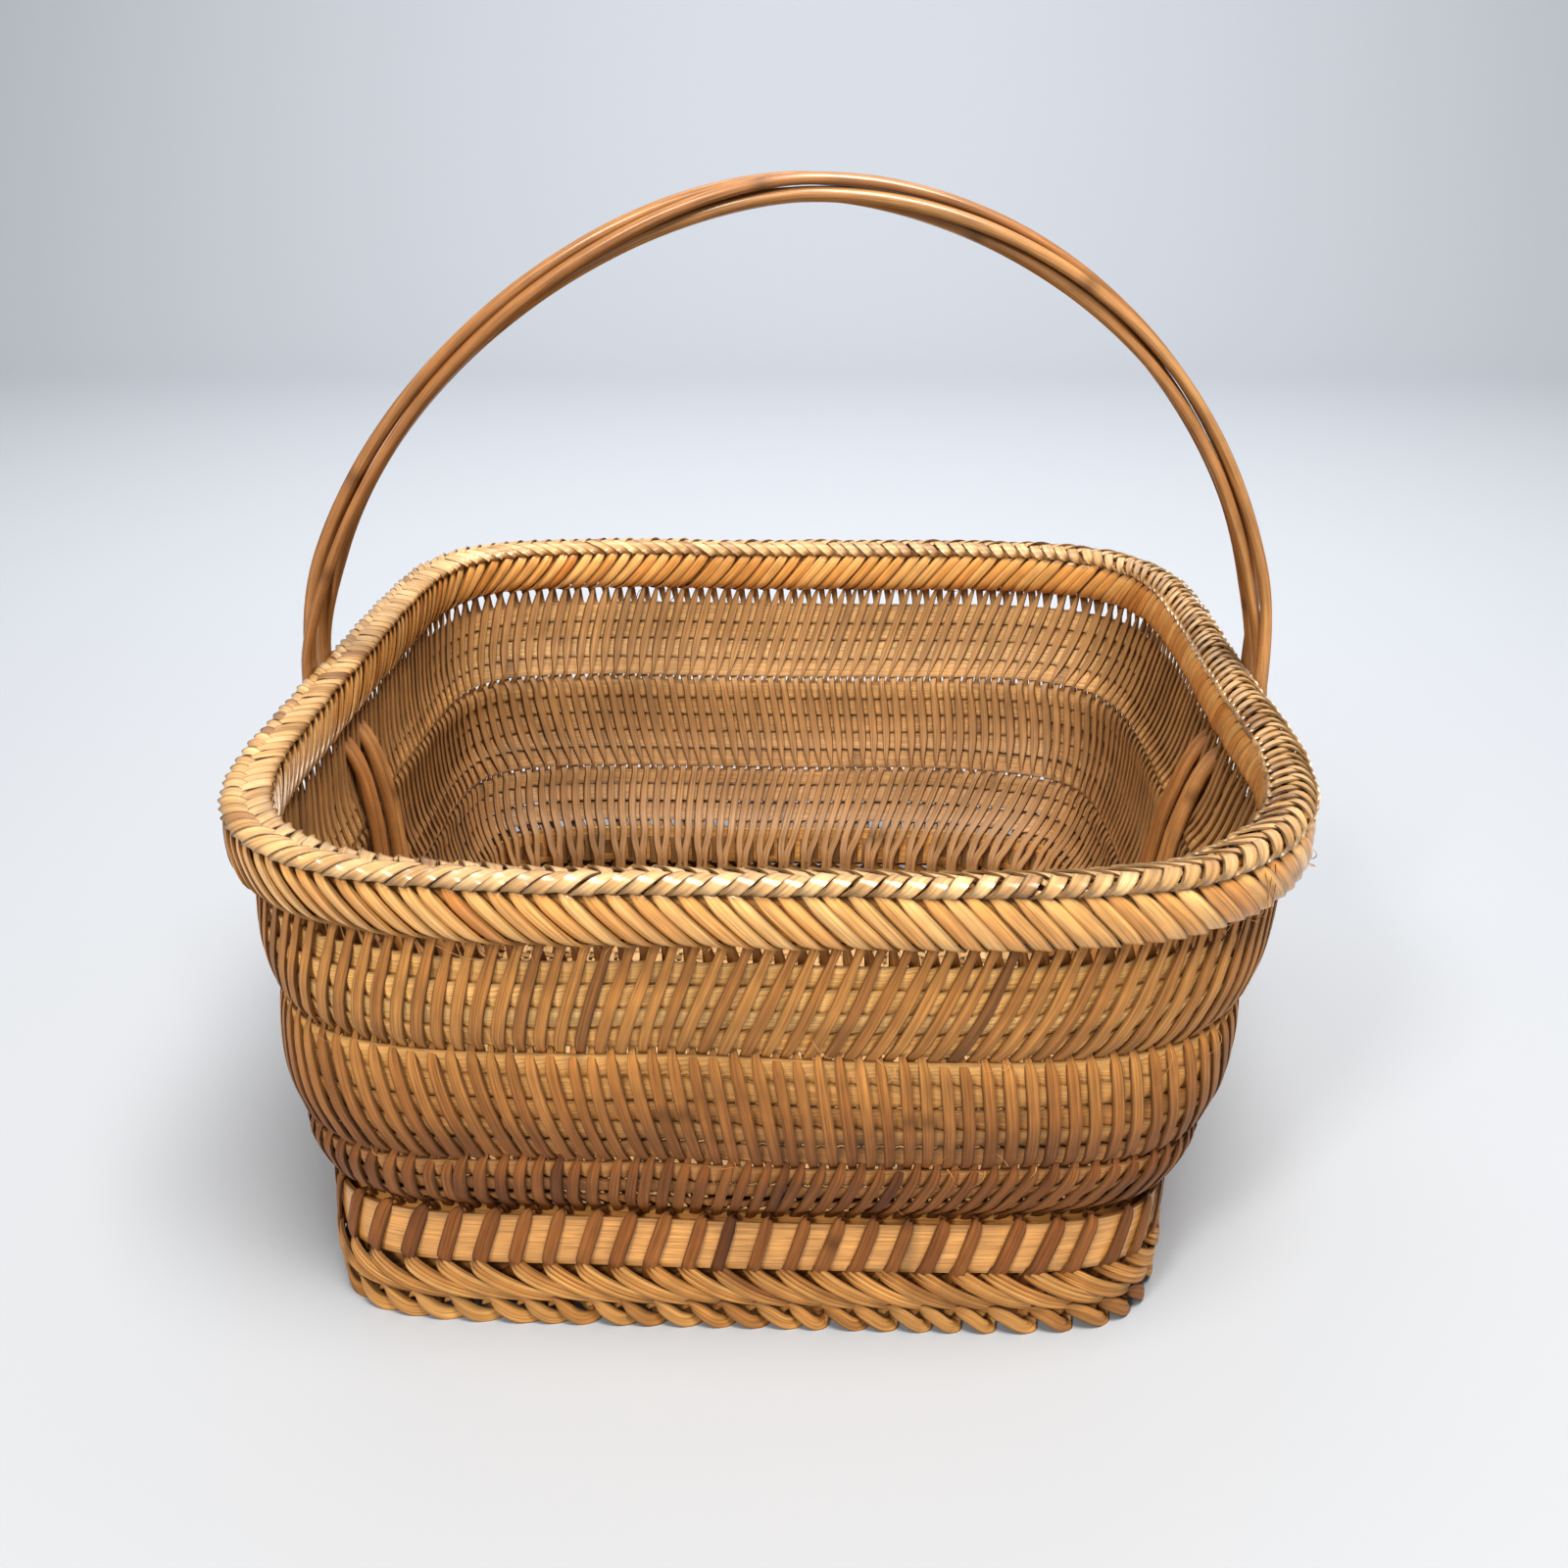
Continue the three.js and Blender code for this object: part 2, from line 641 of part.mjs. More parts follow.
function addTier(group, label, tier) {
  const pitch = (tier.top - tier.bottom) / tier.hoops;
  for (let i = 0; i < tier.hoops; i += 1) {
    const bottomZ = tier.bottom + i * pitch + WEAVER_EDGE_GAP / 2;
    const topZ = tier.bottom + (i + 1) * pitch - WEAVER_EDGE_GAP / 2;
    group.add(piece(`${label}_weaver_${i + 1}`, weaverHoop(bottomZ, topZ), WEAVER_GOLD, 0.55));
  }
}

const group = new THREE.Group();
group.name = 'split_bamboo_basket';

const foot = new THREE.Group();
foot.name = 'foot';
foot.add(piece('foot_braid', footBraid(), FOOT_TAN, 0.6));
foot.add(piece('foot_leaf_row', footLeafRow(), FOOT_TAN, 0.6));
foot.add(piece('foot_hoop', footHoop(), WEAVER_GOLD, 0.5));
foot.add(piece('foot_ties', footTies(), STAKE_BROWN, 0.6));
group.add(foot);

const wall = new THREE.Group();
wall.name = 'wall';
addTier(wall, 'lower', LOWER_TIER);
addTier(wall, 'middle', MIDDLE_TIER);
addTier(wall, 'upper', UPPER_TIER);
wall.add(piece('stakes_right_leaning', stakeSet(1, 0, true, RIGHT_RING_INSET), STAKE_BROWN, 0.6));
wall.add(piece('stakes_left_leaning', stakeSet(-1, 0.5, false, LEFT_RING_INSET), STAKE_BROWN, 0.6));
wall.add(piece('floor_mat', floorMat(), FLOOR_BROWN, 0.75));
group.add(wall);

const rim = new THREE.Group();
rim.name = 'rim';
const outerHoop = flatRing(RIM_OUTER_HOOP_INSET, RIM_HOOP_THICK, RIM_HOOP_BOTTOM_Z, RIM_HOOP_TOP_Z);
const innerHoop = flatRing(RIM_INNER_HOOP_INSET, RIM_HOOP_THICK, RIM_HOOP_BOTTOM_Z, RIM_HOOP_TOP_Z);
rim.add(piece('rim_outer_hoop', outerHoop, WEAVER_GOLD, 0.5));
rim.add(piece('rim_inner_hoop', innerHoop, WEAVER_GOLD, 0.5));
rim.add(piece('rim_lashing', rimLashing(), LASH_GOLD, 0.45));
rim.add(piece('rim_braid', rimBraid(), LASH_GOLD, 0.5));
group.add(rim);

const handle = new THREE.Group();
handle.name = 'handle';
handle.add(piece('handle_cane_1', handleCane(-1, true), CANE_TAN, 0.5));
handle.add(piece('handle_cane_2', handleCane(-1, false), CANE_TAN, 0.5));
handle.add(piece('handle_cane_3', handleCane(1, false), CANE_TAN, 0.5));
handle.add(piece('handle_cane_4', handleCane(1, true), CANE_TAN, 0.5));
group.add(handle);

export default group;
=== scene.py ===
"""A squarish basket of split bamboo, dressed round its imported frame.

Every strip is laid out flat first, as if the wall were unrolled: X runs round the rim, Y goes inwards
from the rim's outer face and Z is up. Geometry Nodes repeat the strips, then wrap them round the basket.
"""

import logging
import math
from dataclasses import dataclass, field
from enum import Enum
from functools import cached_property

import bpy
import numpy as np
from mathutils import Matrix, Vector


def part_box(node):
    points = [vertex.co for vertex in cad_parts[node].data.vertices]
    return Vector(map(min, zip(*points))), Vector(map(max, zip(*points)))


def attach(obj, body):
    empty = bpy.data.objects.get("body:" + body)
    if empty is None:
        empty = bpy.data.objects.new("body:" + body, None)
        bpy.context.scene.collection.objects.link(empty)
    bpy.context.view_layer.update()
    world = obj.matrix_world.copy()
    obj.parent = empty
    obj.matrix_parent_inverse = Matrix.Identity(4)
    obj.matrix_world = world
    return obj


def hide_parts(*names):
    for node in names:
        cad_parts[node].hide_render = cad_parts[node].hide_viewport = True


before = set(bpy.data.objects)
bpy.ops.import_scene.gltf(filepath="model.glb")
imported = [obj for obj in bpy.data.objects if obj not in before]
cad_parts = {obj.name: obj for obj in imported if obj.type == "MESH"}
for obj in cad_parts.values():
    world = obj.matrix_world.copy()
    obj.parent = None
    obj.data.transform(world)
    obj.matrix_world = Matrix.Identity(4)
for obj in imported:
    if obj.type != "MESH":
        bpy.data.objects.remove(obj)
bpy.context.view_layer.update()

LOG = logging.getLogger("basket")
MM = 0.001
TAU = 2 * math.pi

Tree = bpy.types.NodeTree
Node = bpy.types.Node
Socket = bpy.types.NodeSocket
Colour = tuple[float, float, float, float]

# Share of a splint's width that its underside keeps, so that its edges are bevelled.
UNDERSIDE_SHARE = 0.94
# How far apart in colour the splints of one template are set, as a share of the whole range.
SPLINT_TINT_STEP = 0.37
# Splints pressed on the ground stay this much above it.
GROUND_GAP = 0.05 * MM


def srgb(code: str) -> Colour:
    """Turn an sRGB hex colour into the linear colour a shader socket takes.

    Args:
        code: six hex digits.

    Returns:
        Linear red, green, blue and an alpha of one.
    """
    channels = [int(code[i : i + 2], 16) / 255 for i in (0, 2, 4)]
    linear = [c / 12.92 if c <= 0.04045 else ((c + 0.055) / 1.055) ** 2.4 for c in channels]
    return (*linear, 1.0)


def put(tree: Tree, kind: str, settings: dict | None = None, inputs: dict | None = None) -> Node:
    """Add a node, set its properties, and fill or link its sockets.

    Args:
        tree: the node tree the node goes into.
        kind: the node's type name.
        settings: property names and their values.
        inputs: socket names or numbers, each with a value or with the output socket to link from.

    Returns:
        The new node.
    """
    node = tree.nodes.new(kind)
    for name, value in (settings or {}).items():
        setattr(node, name, value)
    for key, value in (inputs or {}).items():
        socket = node.inputs[key]
        if isinstance(value, Socket):
            tree.links.new(value, socket)
        else:
            socket.default_value = value
    return node


def smooth_step(value: float) -> float:
    """Ease a number from 0 to 1, flat at both ends."""
    t = min(1.0, max(0.0, value))
    return t * t * (3 - 2 * t)


# ---------------------------------------------------------------------------------------------------
# The basket's form
# ---------------------------------------------------------------------------------------------------


@dataclass(frozen=True)
class BasketForm:
    """The rounded square the basket is woven to, and how far it leans.

    Sizes are in metres. An inset is measured inwards from the rim's outer face. The larger a squareness,
    the tighter the corners. A stake leans by a number of spacings in each tier.
    """

    half_width: float
    half_depth: float
    rim_bottom: float
    rim_top: float
    foot_hoop_low: float
    foot_hoop_high: float
    foot_inset: float
    foot_lean: float
    rim_front_squareness: float = 3.9
    rim_back_squareness: float = 7.2
    foot_front_squareness: float = 8.0
    foot_back_squareness: float = 9.0
    left_back_extra: float = 1.4
    rim_thick: float = 12.8 * MM
    lashing_foot: float = 167.5 * MM
    waist_high: float = 126 * MM
    waist_low: float = 79 * MM
    lean_per_tier: float = 1.5
    stakes: int = 192
    foot_strips: int = 96

    @classmethod
    def from_frame(cls) -> "BasketForm":
        """Read the form's main sizes off the frame's own nodes."""
        lash_low, lash_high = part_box("rim_lashing")
        _, braid_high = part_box("rim_braid")
        hoop_low, hoop_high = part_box("foot_hoop")
        return cls(
            half_width=lash_high.x,
            half_depth=lash_high.y,
            rim_bottom=lash_low.z,
            rim_top=braid_high.z,
            foot_hoop_low=hoop_low.z,
            foot_hoop_high=hoop_high.z,
            foot_inset=lash_high.y - hoop_high.y,
            foot_lean=(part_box("foot_braid")[0].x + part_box("foot_braid")[1].x) / 2,
        )

    def outline(self, angle: float, inset: float, z: float) -> tuple[float, float]:
        """Return the point of the outline that lies in a direction, before the basket's lean.

        Args:
            angle: direction from the middle, in radians.
            inset: distance inside the rim's outer face.
            z: height, which sets how square the corners are.

        Returns:
            x and y.
        """
        a = self.half_width - inset
        b = self.half_depth - inset
        c, s = math.cos(angle), math.sin(angle)
        up = min(1.0, max(0.0, z / self.rim_bottom))
        back = (1 + s) / 2
        front = self.foot_front_squareness + (self.rim_front_squareness - self.foot_front_squareness) * up
        rear = self.foot_back_squareness + (self.rim_back_squareness - self.foot_back_squareness) * up
        power = front + (rear - front - self.left_back_extra * c) * back
        radius = ((abs(c) / a) ** power + (abs(s) / b) ** power) ** (-1 / power)
        return radius * c, radius * s

    def lean(self, z: float) -> float:
        """How far the basket has leant to one side at a height: all of it at the foot, none at the rim."""
        return self.foot_lean * math.cos(math.pi / 2 * min(1.0, max(0.0, z / self.rim_bottom)))

    @cached_property
    def girth(self) -> float:
        """The length of the rim's outer edge."""
        steps = 2000
        ring = [self.outline(TAU * i / steps, 0.0, self.rim_bottom) for i in range(steps)]
        return sum(math.dist(ring[i - 1], ring[i]) for i in range(steps))

    @property
    def pitch(self) -> float:
        """Spacing of one set of stakes, measured along the rim."""
        return self.girth / self.stakes

    def narrowing(self, inset: float) -> float:
        """How much longer a width must be laid flat so that it comes out true at an inset."""
        mean = (self.half_width + self.half_depth) / 2
        return mean / (mean - inset)

    def stake_lean(self, z: float) -> float:
        """How many spacings a right-leaning stake has moved round at a height, from the upper waist.

        Args:
            z: the height.

        Returns:
            The number of spacings.
        """
        if z >= self.waist_high:
            return self.lean_per_tier * (z - self.waist_high) / (self.lashing_foot - self.waist_high)
        return self.lean_per_tier * (z - self.waist_high) / (self.waist_high - self.waist_low)


# Height and inset of the wall's outer face, in millimetres, from the ground up.
WALL_PROFILE = (
    (0.0, 35.0),
    (28.0, 36.4),
    (46.0, 36.2),
    (51.5, 33.0),
    (57.0, 28.6),
    (64.0, 25.4),
    (72.0, 22.6),
    (79.0, 21.6),
    (86.0, 19.6),
    (99.0, 16.0),
    (114.0, 14.6),
    (126.0, 14.4),
    (134.0, 11.8),
    (147.0, 8.4),
    (160.0, 7.0),
    (172.0, 6.0),
    (196.0, 5.0),
)
# The profile's curve is drawn in a unit square that stands for this height and this inset.
PROFILE_HEIGHT = 0.2
PROFILE_REACH = 0.05


def wall_inset(z: float) -> float:
    """Inset of the wall's outer face at a height, both in metres, by straight lines between heights.

    Args:
        z: the height.

    Returns:
        The inset.
    """
    heights = [h * MM for h, _ in WALL_PROFILE]
    insets = [i * MM for _, i in WALL_PROFILE]
    return float(np.interp(z, heights, insets))


# ---------------------------------------------------------------------------------------------------
# Strips laid flat
# ---------------------------------------------------------------------------------------------------


@dataclass
class Strip:
    """One splint laid along a path: its middle line, the way it faces, and its width and thickness.

    The crown is how far its middle bulges, the lift how far one edge stands higher than the other, and
    across the number of points over its face.
    """

    points: np.ndarray
    facing: np.ndarray
    half_width: np.ndarray
    thickness: np.ndarray
    crown: float = 0.0
    lift: float = 0.0
    across: int = 5
    closed: bool = False

    def sections(self) -> tuple[np.ndarray, np.ndarray]:
        """Work out the cross-sections.

        Returns:
            Points of each section, and for each the distance across and along the splint.
        """
        pts = np.asarray(self.points, float)
        along = np.gradient(pts, axis=0)
        if self.closed:
            along[0] = along[-1] = pts[1] - pts[0]
        along /= np.linalg.norm(along, axis=1)[:, None]
        face = np.asarray(self.facing, float)
        face = face - along * np.sum(face * along, axis=1)[:, None]
        face /= np.linalg.norm(face, axis=1)[:, None]
        side = np.cross(along, face)
        run = np.concatenate([[0.0], np.cumsum(np.linalg.norm(np.diff(pts, axis=0), axis=1))])
        t = np.linspace(-1, 1, self.across)
        outer = self.crown * (1 - t**2) + self.lift * t
        back = np.array([1.0, 0.0, -1.0])
        rows, marks = [], []
        for i in range(len(pts)):
            half = self.half_width[i]
            thick = self.thickness[i]
            ease = half / max(self.half_width)
            top = pts[i] + np.outer(t * half, side[i]) + np.outer(thick / 2 + outer * ease, face[i])
            low = (
                pts[i]
                + np.outer(back * half * UNDERSIDE_SHARE, side[i])
                + np.outer(-thick / 2 + self.lift * back * ease, face[i])
            )
            rows.append(np.vstack([top, low]))
            cross = np.concatenate([t * half, back * half])
            marks.append(np.column_stack([cross, np.full(len(cross), run[i]), np.zeros(len(cross))]))
        return np.array(rows), np.array(marks)


def skin(name: str, strips: list[Strip], grounded: bool = False) -> bpy.types.Object:
    """Make one mesh object of strips, each a closed splint, with its flat measure kept as an attribute.

    Args:
        name: the object's name.
        strips: the splints. A closed one is left open at its two ends, which meet once it is wrapped.
            The measure's third number tells the splints apart, so that no two have the same colour.
        grounded: true where the splints are pressed flat against the ground they stand on.

    Returns:
        The object, linked to the scene.
    """
    verts: list[np.ndarray] = []
    marks: list[np.ndarray] = []
    edges: list[np.ndarray] = []
    faces: list[tuple[int, ...]] = []
    base = 0
    for number, strip in enumerate(strips):
        rows, flat = strip.sections()
        flat[:, :, 2] = SPLINT_TINT_STEP * number
        count, size = rows.shape[:2]
        local = []
        for i in range(count - 1):
            for j in range(size):
                k = (j + 1) % size
                a, b = i * size, (i + 1) * size
                local.append((a + j, b + j, b + k, a + k))
        if not strip.closed:
            end = (count - 1) * size
            local.append(tuple(range(size)))
            local.append(tuple(end + j for j in reversed(range(size))))
        shell = rows.reshape(-1, 3)
        if grounded:
            shell[:, 2] = np.maximum(shell[:, 2], GROUND_GAP)
        if shell_volume(shell, local) < 0:
            local = [tuple(reversed(f)) for f in local]
        faces += [tuple(v + base for v in f) for f in local]
        verts.append(shell)
        marks.append(flat.reshape(-1, 3))
        # Distance from the splint's middle line, 0 to 1, which the finishes use to paint shade along the
        # edges.
        across = np.concatenate([np.linspace(-1, 1, strip.across), (1.0, 0.0, -1.0)])
        edges.append(np.tile(np.abs(across), count))
        base += len(shell)
    mesh = bpy.data.meshes.new(name)
    mesh.from_pydata(np.vstack(verts).tolist(), [], faces)
    layer = mesh.attributes.new("splint", "FLOAT_VECTOR", "POINT")
    layer.data.foreach_set("vector", np.vstack(marks).astype(np.float32).ravel())
    rims = mesh.attributes.new("edge", "FLOAT", "POINT")
    rims.data.foreach_set("value", np.concatenate(edges).astype(np.float32))
    mesh.update()
    obj = bpy.data.objects.new(name, mesh)
    bpy.context.scene.collection.objects.link(obj)
    return obj


def shell_volume(points: np.ndarray, faces: list[tuple[int, ...]]) -> float:
    """Signed volume enclosed by faces, fanned from each face's first corner.

    Args:
        points: the corners.
        faces: the corners' numbers in each face.

    Returns:
        The volume, below zero where the faces point in.
    """
    total = 0.0
    centre = points.mean(axis=0)
    for f in faces:
        a = points[f[0]] - centre
        for i in range(1, len(f) - 1):
            total += float(np.dot(a, np.cross(points[f[i]] - centre, points[f[i + 1]] - centre)))
    return total / 6


# ---------------------------------------------------------------------------------------------------
# Trees that repeat the strips and wrap them round the basket
# ---------------------------------------------------------------------------------------------------


def group_inputs(tree: Tree, sockets: dict[str, str]) -> None:
    """Declare a tree's geometry in and out, and its other named inputs.

    Args:
        tree: the tree.
        sockets: input names, each with its socket type.
    """
    face = tree.interface
    face.new_socket("Geometry", in_out="INPUT", socket_type="NodeSocketGeometry")
    face.new_socket("Geometry", in_out="OUTPUT", socket_type="NodeSocketGeometry")
    for name, kind in sockets.items():
        face.new_socket(name, in_out="INPUT", socket_type=kind)


FLOAT = "NodeSocketFloat"
INTEGER = "NodeSocketInt"
MATERIAL = "NodeSocketMaterial"


def wrap_tree(form: BasketForm) -> Tree:
    """Build the group that takes flat strips and wraps them round the basket's outline.

    Args:
        form: the basket's form.

    Returns:
        The group. Its Wall share is 1 where Y counts from the wall's face, and 0 where it counts from
        the rim's.
    """
    tree = bpy.data.node_groups.new("wrap round the basket", "GeometryNodeTree")
    group_inputs(tree, {"Wall share": FLOAT})
    source = put(tree, "NodeGroupInput").outputs
    place = put(tree, "GeometryNodeInputPosition").outputs[0]
    flat = put(tree, "ShaderNodeSeparateXYZ", None, {0: place}).outputs
    turn = put(tree, "ShaderNodeMath", {"operation": "DIVIDE"}, {0: flat["X"], 1: form.girth})
    part = put(tree, "ShaderNodeMath", {"operation": "FRACT"}, {0: turn.outputs[0]})

    steps = 1440
    circle = put(tree, "GeometryNodeCurvePrimitiveCircle", None, {"Resolution": steps, "Radius": 1.0})
    index = put(tree, "GeometryNodeInputIndex").outputs[0]
    angle = put(tree, "ShaderNodeMath", {"operation": "MULTIPLY"}, {0: index, 1: TAU / steps}).outputs[0]
    rim = outline_point(tree, form, angle, 0.0, 1.0)
    ring = put(tree, "GeometryNodeSetPosition", None, {"Geometry": circle.outputs[0], "Position": rim})
    found = put(
        tree,
        "GeometryNodeSampleCurve",
        {"mode": "FACTOR", "use_all_curves": True},
        {"Curves": ring.outputs[0], "Factor": part.outputs[0]},
    )
    at = put(tree, "ShaderNodeSeparateXYZ", None, {0: found.outputs["Position"]}).outputs
    bearing = put(tree, "ShaderNodeMath", {"operation": "ARCTAN2"}, {0: at["Y"], 1: at["X"]}).outputs[0]

    height = put(tree, "ShaderNodeMath", {"operation": "DIVIDE"}, {0: flat["Z"], 1: PROFILE_HEIGHT})
    curve = put(tree, "ShaderNodeFloatCurve", None, {"Value": height.outputs[0]})
    line = curve.mapping.curves[0]
    spots = [(h * MM / PROFILE_HEIGHT, i * MM / PROFILE_REACH) for h, i in WALL_PROFILE]
    line.points[0].location = spots[0]
    line.points[1].location = spots[-1]
    for spot in spots[1:-1]:
        line.points.new(*spot)
    curve.mapping.update()
    share = put(tree, "ShaderNodeMath", {"operation": "MULTIPLY"}, {0: curve.outputs[0], 1: PROFILE_REACH})
    wall = put(
        tree,
        "ShaderNodeMath",
        {"operation": "MULTIPLY_ADD"},
        {0: share.outputs[0], 1: source["Wall share"], 2: flat["Y"]},
    ).outputs[0]
    rise = put(
        tree,
        "ShaderNodeMapRange",
        {"clamp": True},
        {"Value": flat["Z"], "From Min": 0.0, "From Max": form.rim_bottom, "To Min": 0.0, "To Max": 1.0},
    ).outputs[0]
    spot = outline_point(tree, form, bearing, wall, rise)
    quarter = put(tree, "ShaderNodeMath", {"operation": "MULTIPLY"}, {0: rise, 1: math.pi / 2}).outputs[0]
    fade = put(tree, "ShaderNodeMath", {"operation": "COSINE"}, {0: quarter}).outputs[0]
    across = put(tree, "ShaderNodeSeparateXYZ", None, {0: spot}).outputs
    leant = put(
        tree,
        "ShaderNodeMath",
        {"operation": "MULTIPLY_ADD"},
        {0: fade, 1: form.foot_lean, 2: across["X"]},
    ).outputs[0]
    final = put(tree, "ShaderNodeCombineXYZ", None, {0: leant, 1: across["Y"], 2: flat["Z"]})
    moved = put(
        tree,
        "GeometryNodeSetPosition",
        None,
        {"Geometry": source["Geometry"], "Position": final.outputs[0]},
    )
    out = put(tree, "NodeGroupOutput")
    tree.links.new(moved.outputs[0], out.inputs[0])
    return tree


def outline_point(
    tree: Tree, form: BasketForm, angle: Socket, inset: Socket | float, rise: Socket | float
) -> Socket:
    """Lay out the nodes of the rounded square's polar formula, the same as the form's own outline.

    Args:
        tree: the tree.
        form: the basket's form.
        angle: socket of the direction.
        inset: socket or value of the inset.
        rise: socket or value of the height as a share of the rim's.

    Returns:
        The socket of the outline's point.
    """
    waves = [
        put(tree, "ShaderNodeMath", {"operation": function}, {0: angle}).outputs[0]
        for function in ("COSINE", "SINE")
    ]
    ends = []
    for foot, rim in (
        (form.foot_front_squareness, form.rim_front_squareness),
        (form.foot_back_squareness, form.rim_back_squareness),
    ):
        ends.append(
            put(
                tree,
                "ShaderNodeMapRange",
                {"clamp": False},
                {"Value": rise, "From Min": 0.0, "From Max": 1.0, "To Min": foot, "To Max": rim},
            ).outputs[0]
        )
    back = put(
        tree,
        "ShaderNodeMath",
        {"operation": "MULTIPLY_ADD"},
        {0: waves[1], 1: 0.5, 2: 0.5},
    ).outputs[0]
    gain = put(tree, "ShaderNodeMath", {"operation": "SUBTRACT"}, {0: ends[1], 1: ends[0]}).outputs[0]
    skewed = put(
        tree,
        "ShaderNodeMath",
        {"operation": "MULTIPLY_ADD"},
        {0: waves[0], 1: -form.left_back_extra, 2: gain},
    ).outputs[0]
    power = put(
        tree,
        "ShaderNodeMath",
        {"operation": "MULTIPLY_ADD"},
        {0: skewed, 1: back, 2: ends[0]},
    ).outputs[0]
    terms = []
    for wave, half in zip(waves, (form.half_width, form.half_depth)):
        size = put(tree, "ShaderNodeMath", {"operation": "ABSOLUTE"}, {0: wave}).outputs[0]
        room = put(tree, "ShaderNodeMath", {"operation": "SUBTRACT"}, {0: half, 1: inset}).outputs[0]
        ratio = put(tree, "ShaderNodeMath", {"operation": "DIVIDE"}, {0: size, 1: room}).outputs[0]
        term = put(tree, "ShaderNodeMath", {"operation": "POWER"}, {0: ratio, 1: power}).outputs[0]
        terms.append((wave, term))
    total = put(tree, "ShaderNodeMath", {"operation": "ADD"}, {0: terms[0][1], 1: terms[1][1]}).outputs[0]
    root = put(tree, "ShaderNodeMath", {"operation": "DIVIDE"}, {0: -1.0, 1: power}).outputs[0]
    radius = put(tree, "ShaderNodeMath", {"operation": "POWER"}, {0: total, 1: root}).outputs[0]
    ray = put(tree, "ShaderNodeCombineXYZ", None, {0: terms[0][0], 1: terms[1][0], 2: 0.0}).outputs[0]
    scaled = put(tree, "ShaderNodeVectorMath", {"operation": "SCALE"}, {0: ray, "Scale": radius})
    return scaled.outputs[0]


def uneven_tree() -> Tree:
    """Build the group that gives the whole basket the same slight hand-made unevenness.

    Returns:
        The group. It moves points by a slow three-way noise fixed in space, so neighbours stay together.
    """
    waves_per_metre = 9.0
    reach = (6.0 * MM, 6.0 * MM, 4.0 * MM)
    firm_below, free_above = 12 * MM, 60 * MM
    tree = bpy.data.node_groups.new("hand-made unevenness", "GeometryNodeTree")
    group_inputs(tree, {})
    source = put(tree, "NodeGroupInput").outputs
    place = put(tree, "GeometryNodeInputPosition").outputs[0]
    noise = put(
        tree,
        "ShaderNodeTexNoise",
        {"noise_dimensions": "3D"},
        {"Vector": place, "Scale": waves_per_metre, "Detail": 1.0, "Roughness": 0.5},
    )
    centred = put(
        tree,
        "ShaderNodeVectorMath",
        {"operation": "SUBTRACT"},
        {0: noise.outputs["Color"], 1: (0.5, 0.5, 0.5)},
    )
    scaled = put(
        tree,
        "ShaderNodeVectorMath",
        {"operation": "MULTIPLY"},
        {0: centred.outputs[0], 1: reach},
    ).outputs[0]
    level = put(tree, "ShaderNodeSeparateXYZ", None, {0: place}).outputs["Z"]
    fade = put(
        tree,
        "ShaderNodeMapRange",
        {"clamp": True},
        {"Value": level, "From Min": firm_below, "From Max": free_above, "To Min": 0.0, "To Max": 1.0},
    ).outputs[0]
    shift = put(tree, "ShaderNodeVectorMath", {"operation": "SCALE"}, {0: scaled, "Scale": fade})
    moved = put(
        tree,
        "GeometryNodeSetPosition",
        None,
        {"Geometry": source["Geometry"], "Offset": shift.outputs[0]},
    )
    out = put(tree, "NodeGroupOutput")
    tree.links.new(moved.outputs[0], out.inputs[0])
    return tree


ROW_INPUTS = {
    "Count": INTEGER,
    "Spacing": FLOAT,
    "Start": FLOAT,
    "Rise": FLOAT,
    "Base": FLOAT,
    "Seed": INTEGER,
    "Side jitter": FLOAT,
    "Depth jitter": FLOAT,
    "Height jitter": FLOAT,
    "Width jitter": FLOAT,
    "Wander": FLOAT,
    "Weave depth": FLOAT,
    "Weave spacing": FLOAT,
    "Weave lean": FLOAT,
    "Wall share": FLOAT,
    "Seam": FLOAT,
    "Material": MATERIAL,
}
# Each random draw of a row is made with the row's seed plus a number of its own.
TINT_DRAW = 11.0
GRAIN_DRAW = 23.0
WIDTH_DRAW = 37.0
# The grain number tells splints apart; it runs from 0 to this.
GRAIN_RANGE = 40.0
# How often a wandering splint drifts from side to side, per metre of height.
WANDERS_PER_METRE = 22.0
# Edges that turn by more than this stay crisp.
CRISP_ANGLE = math.radians(42)


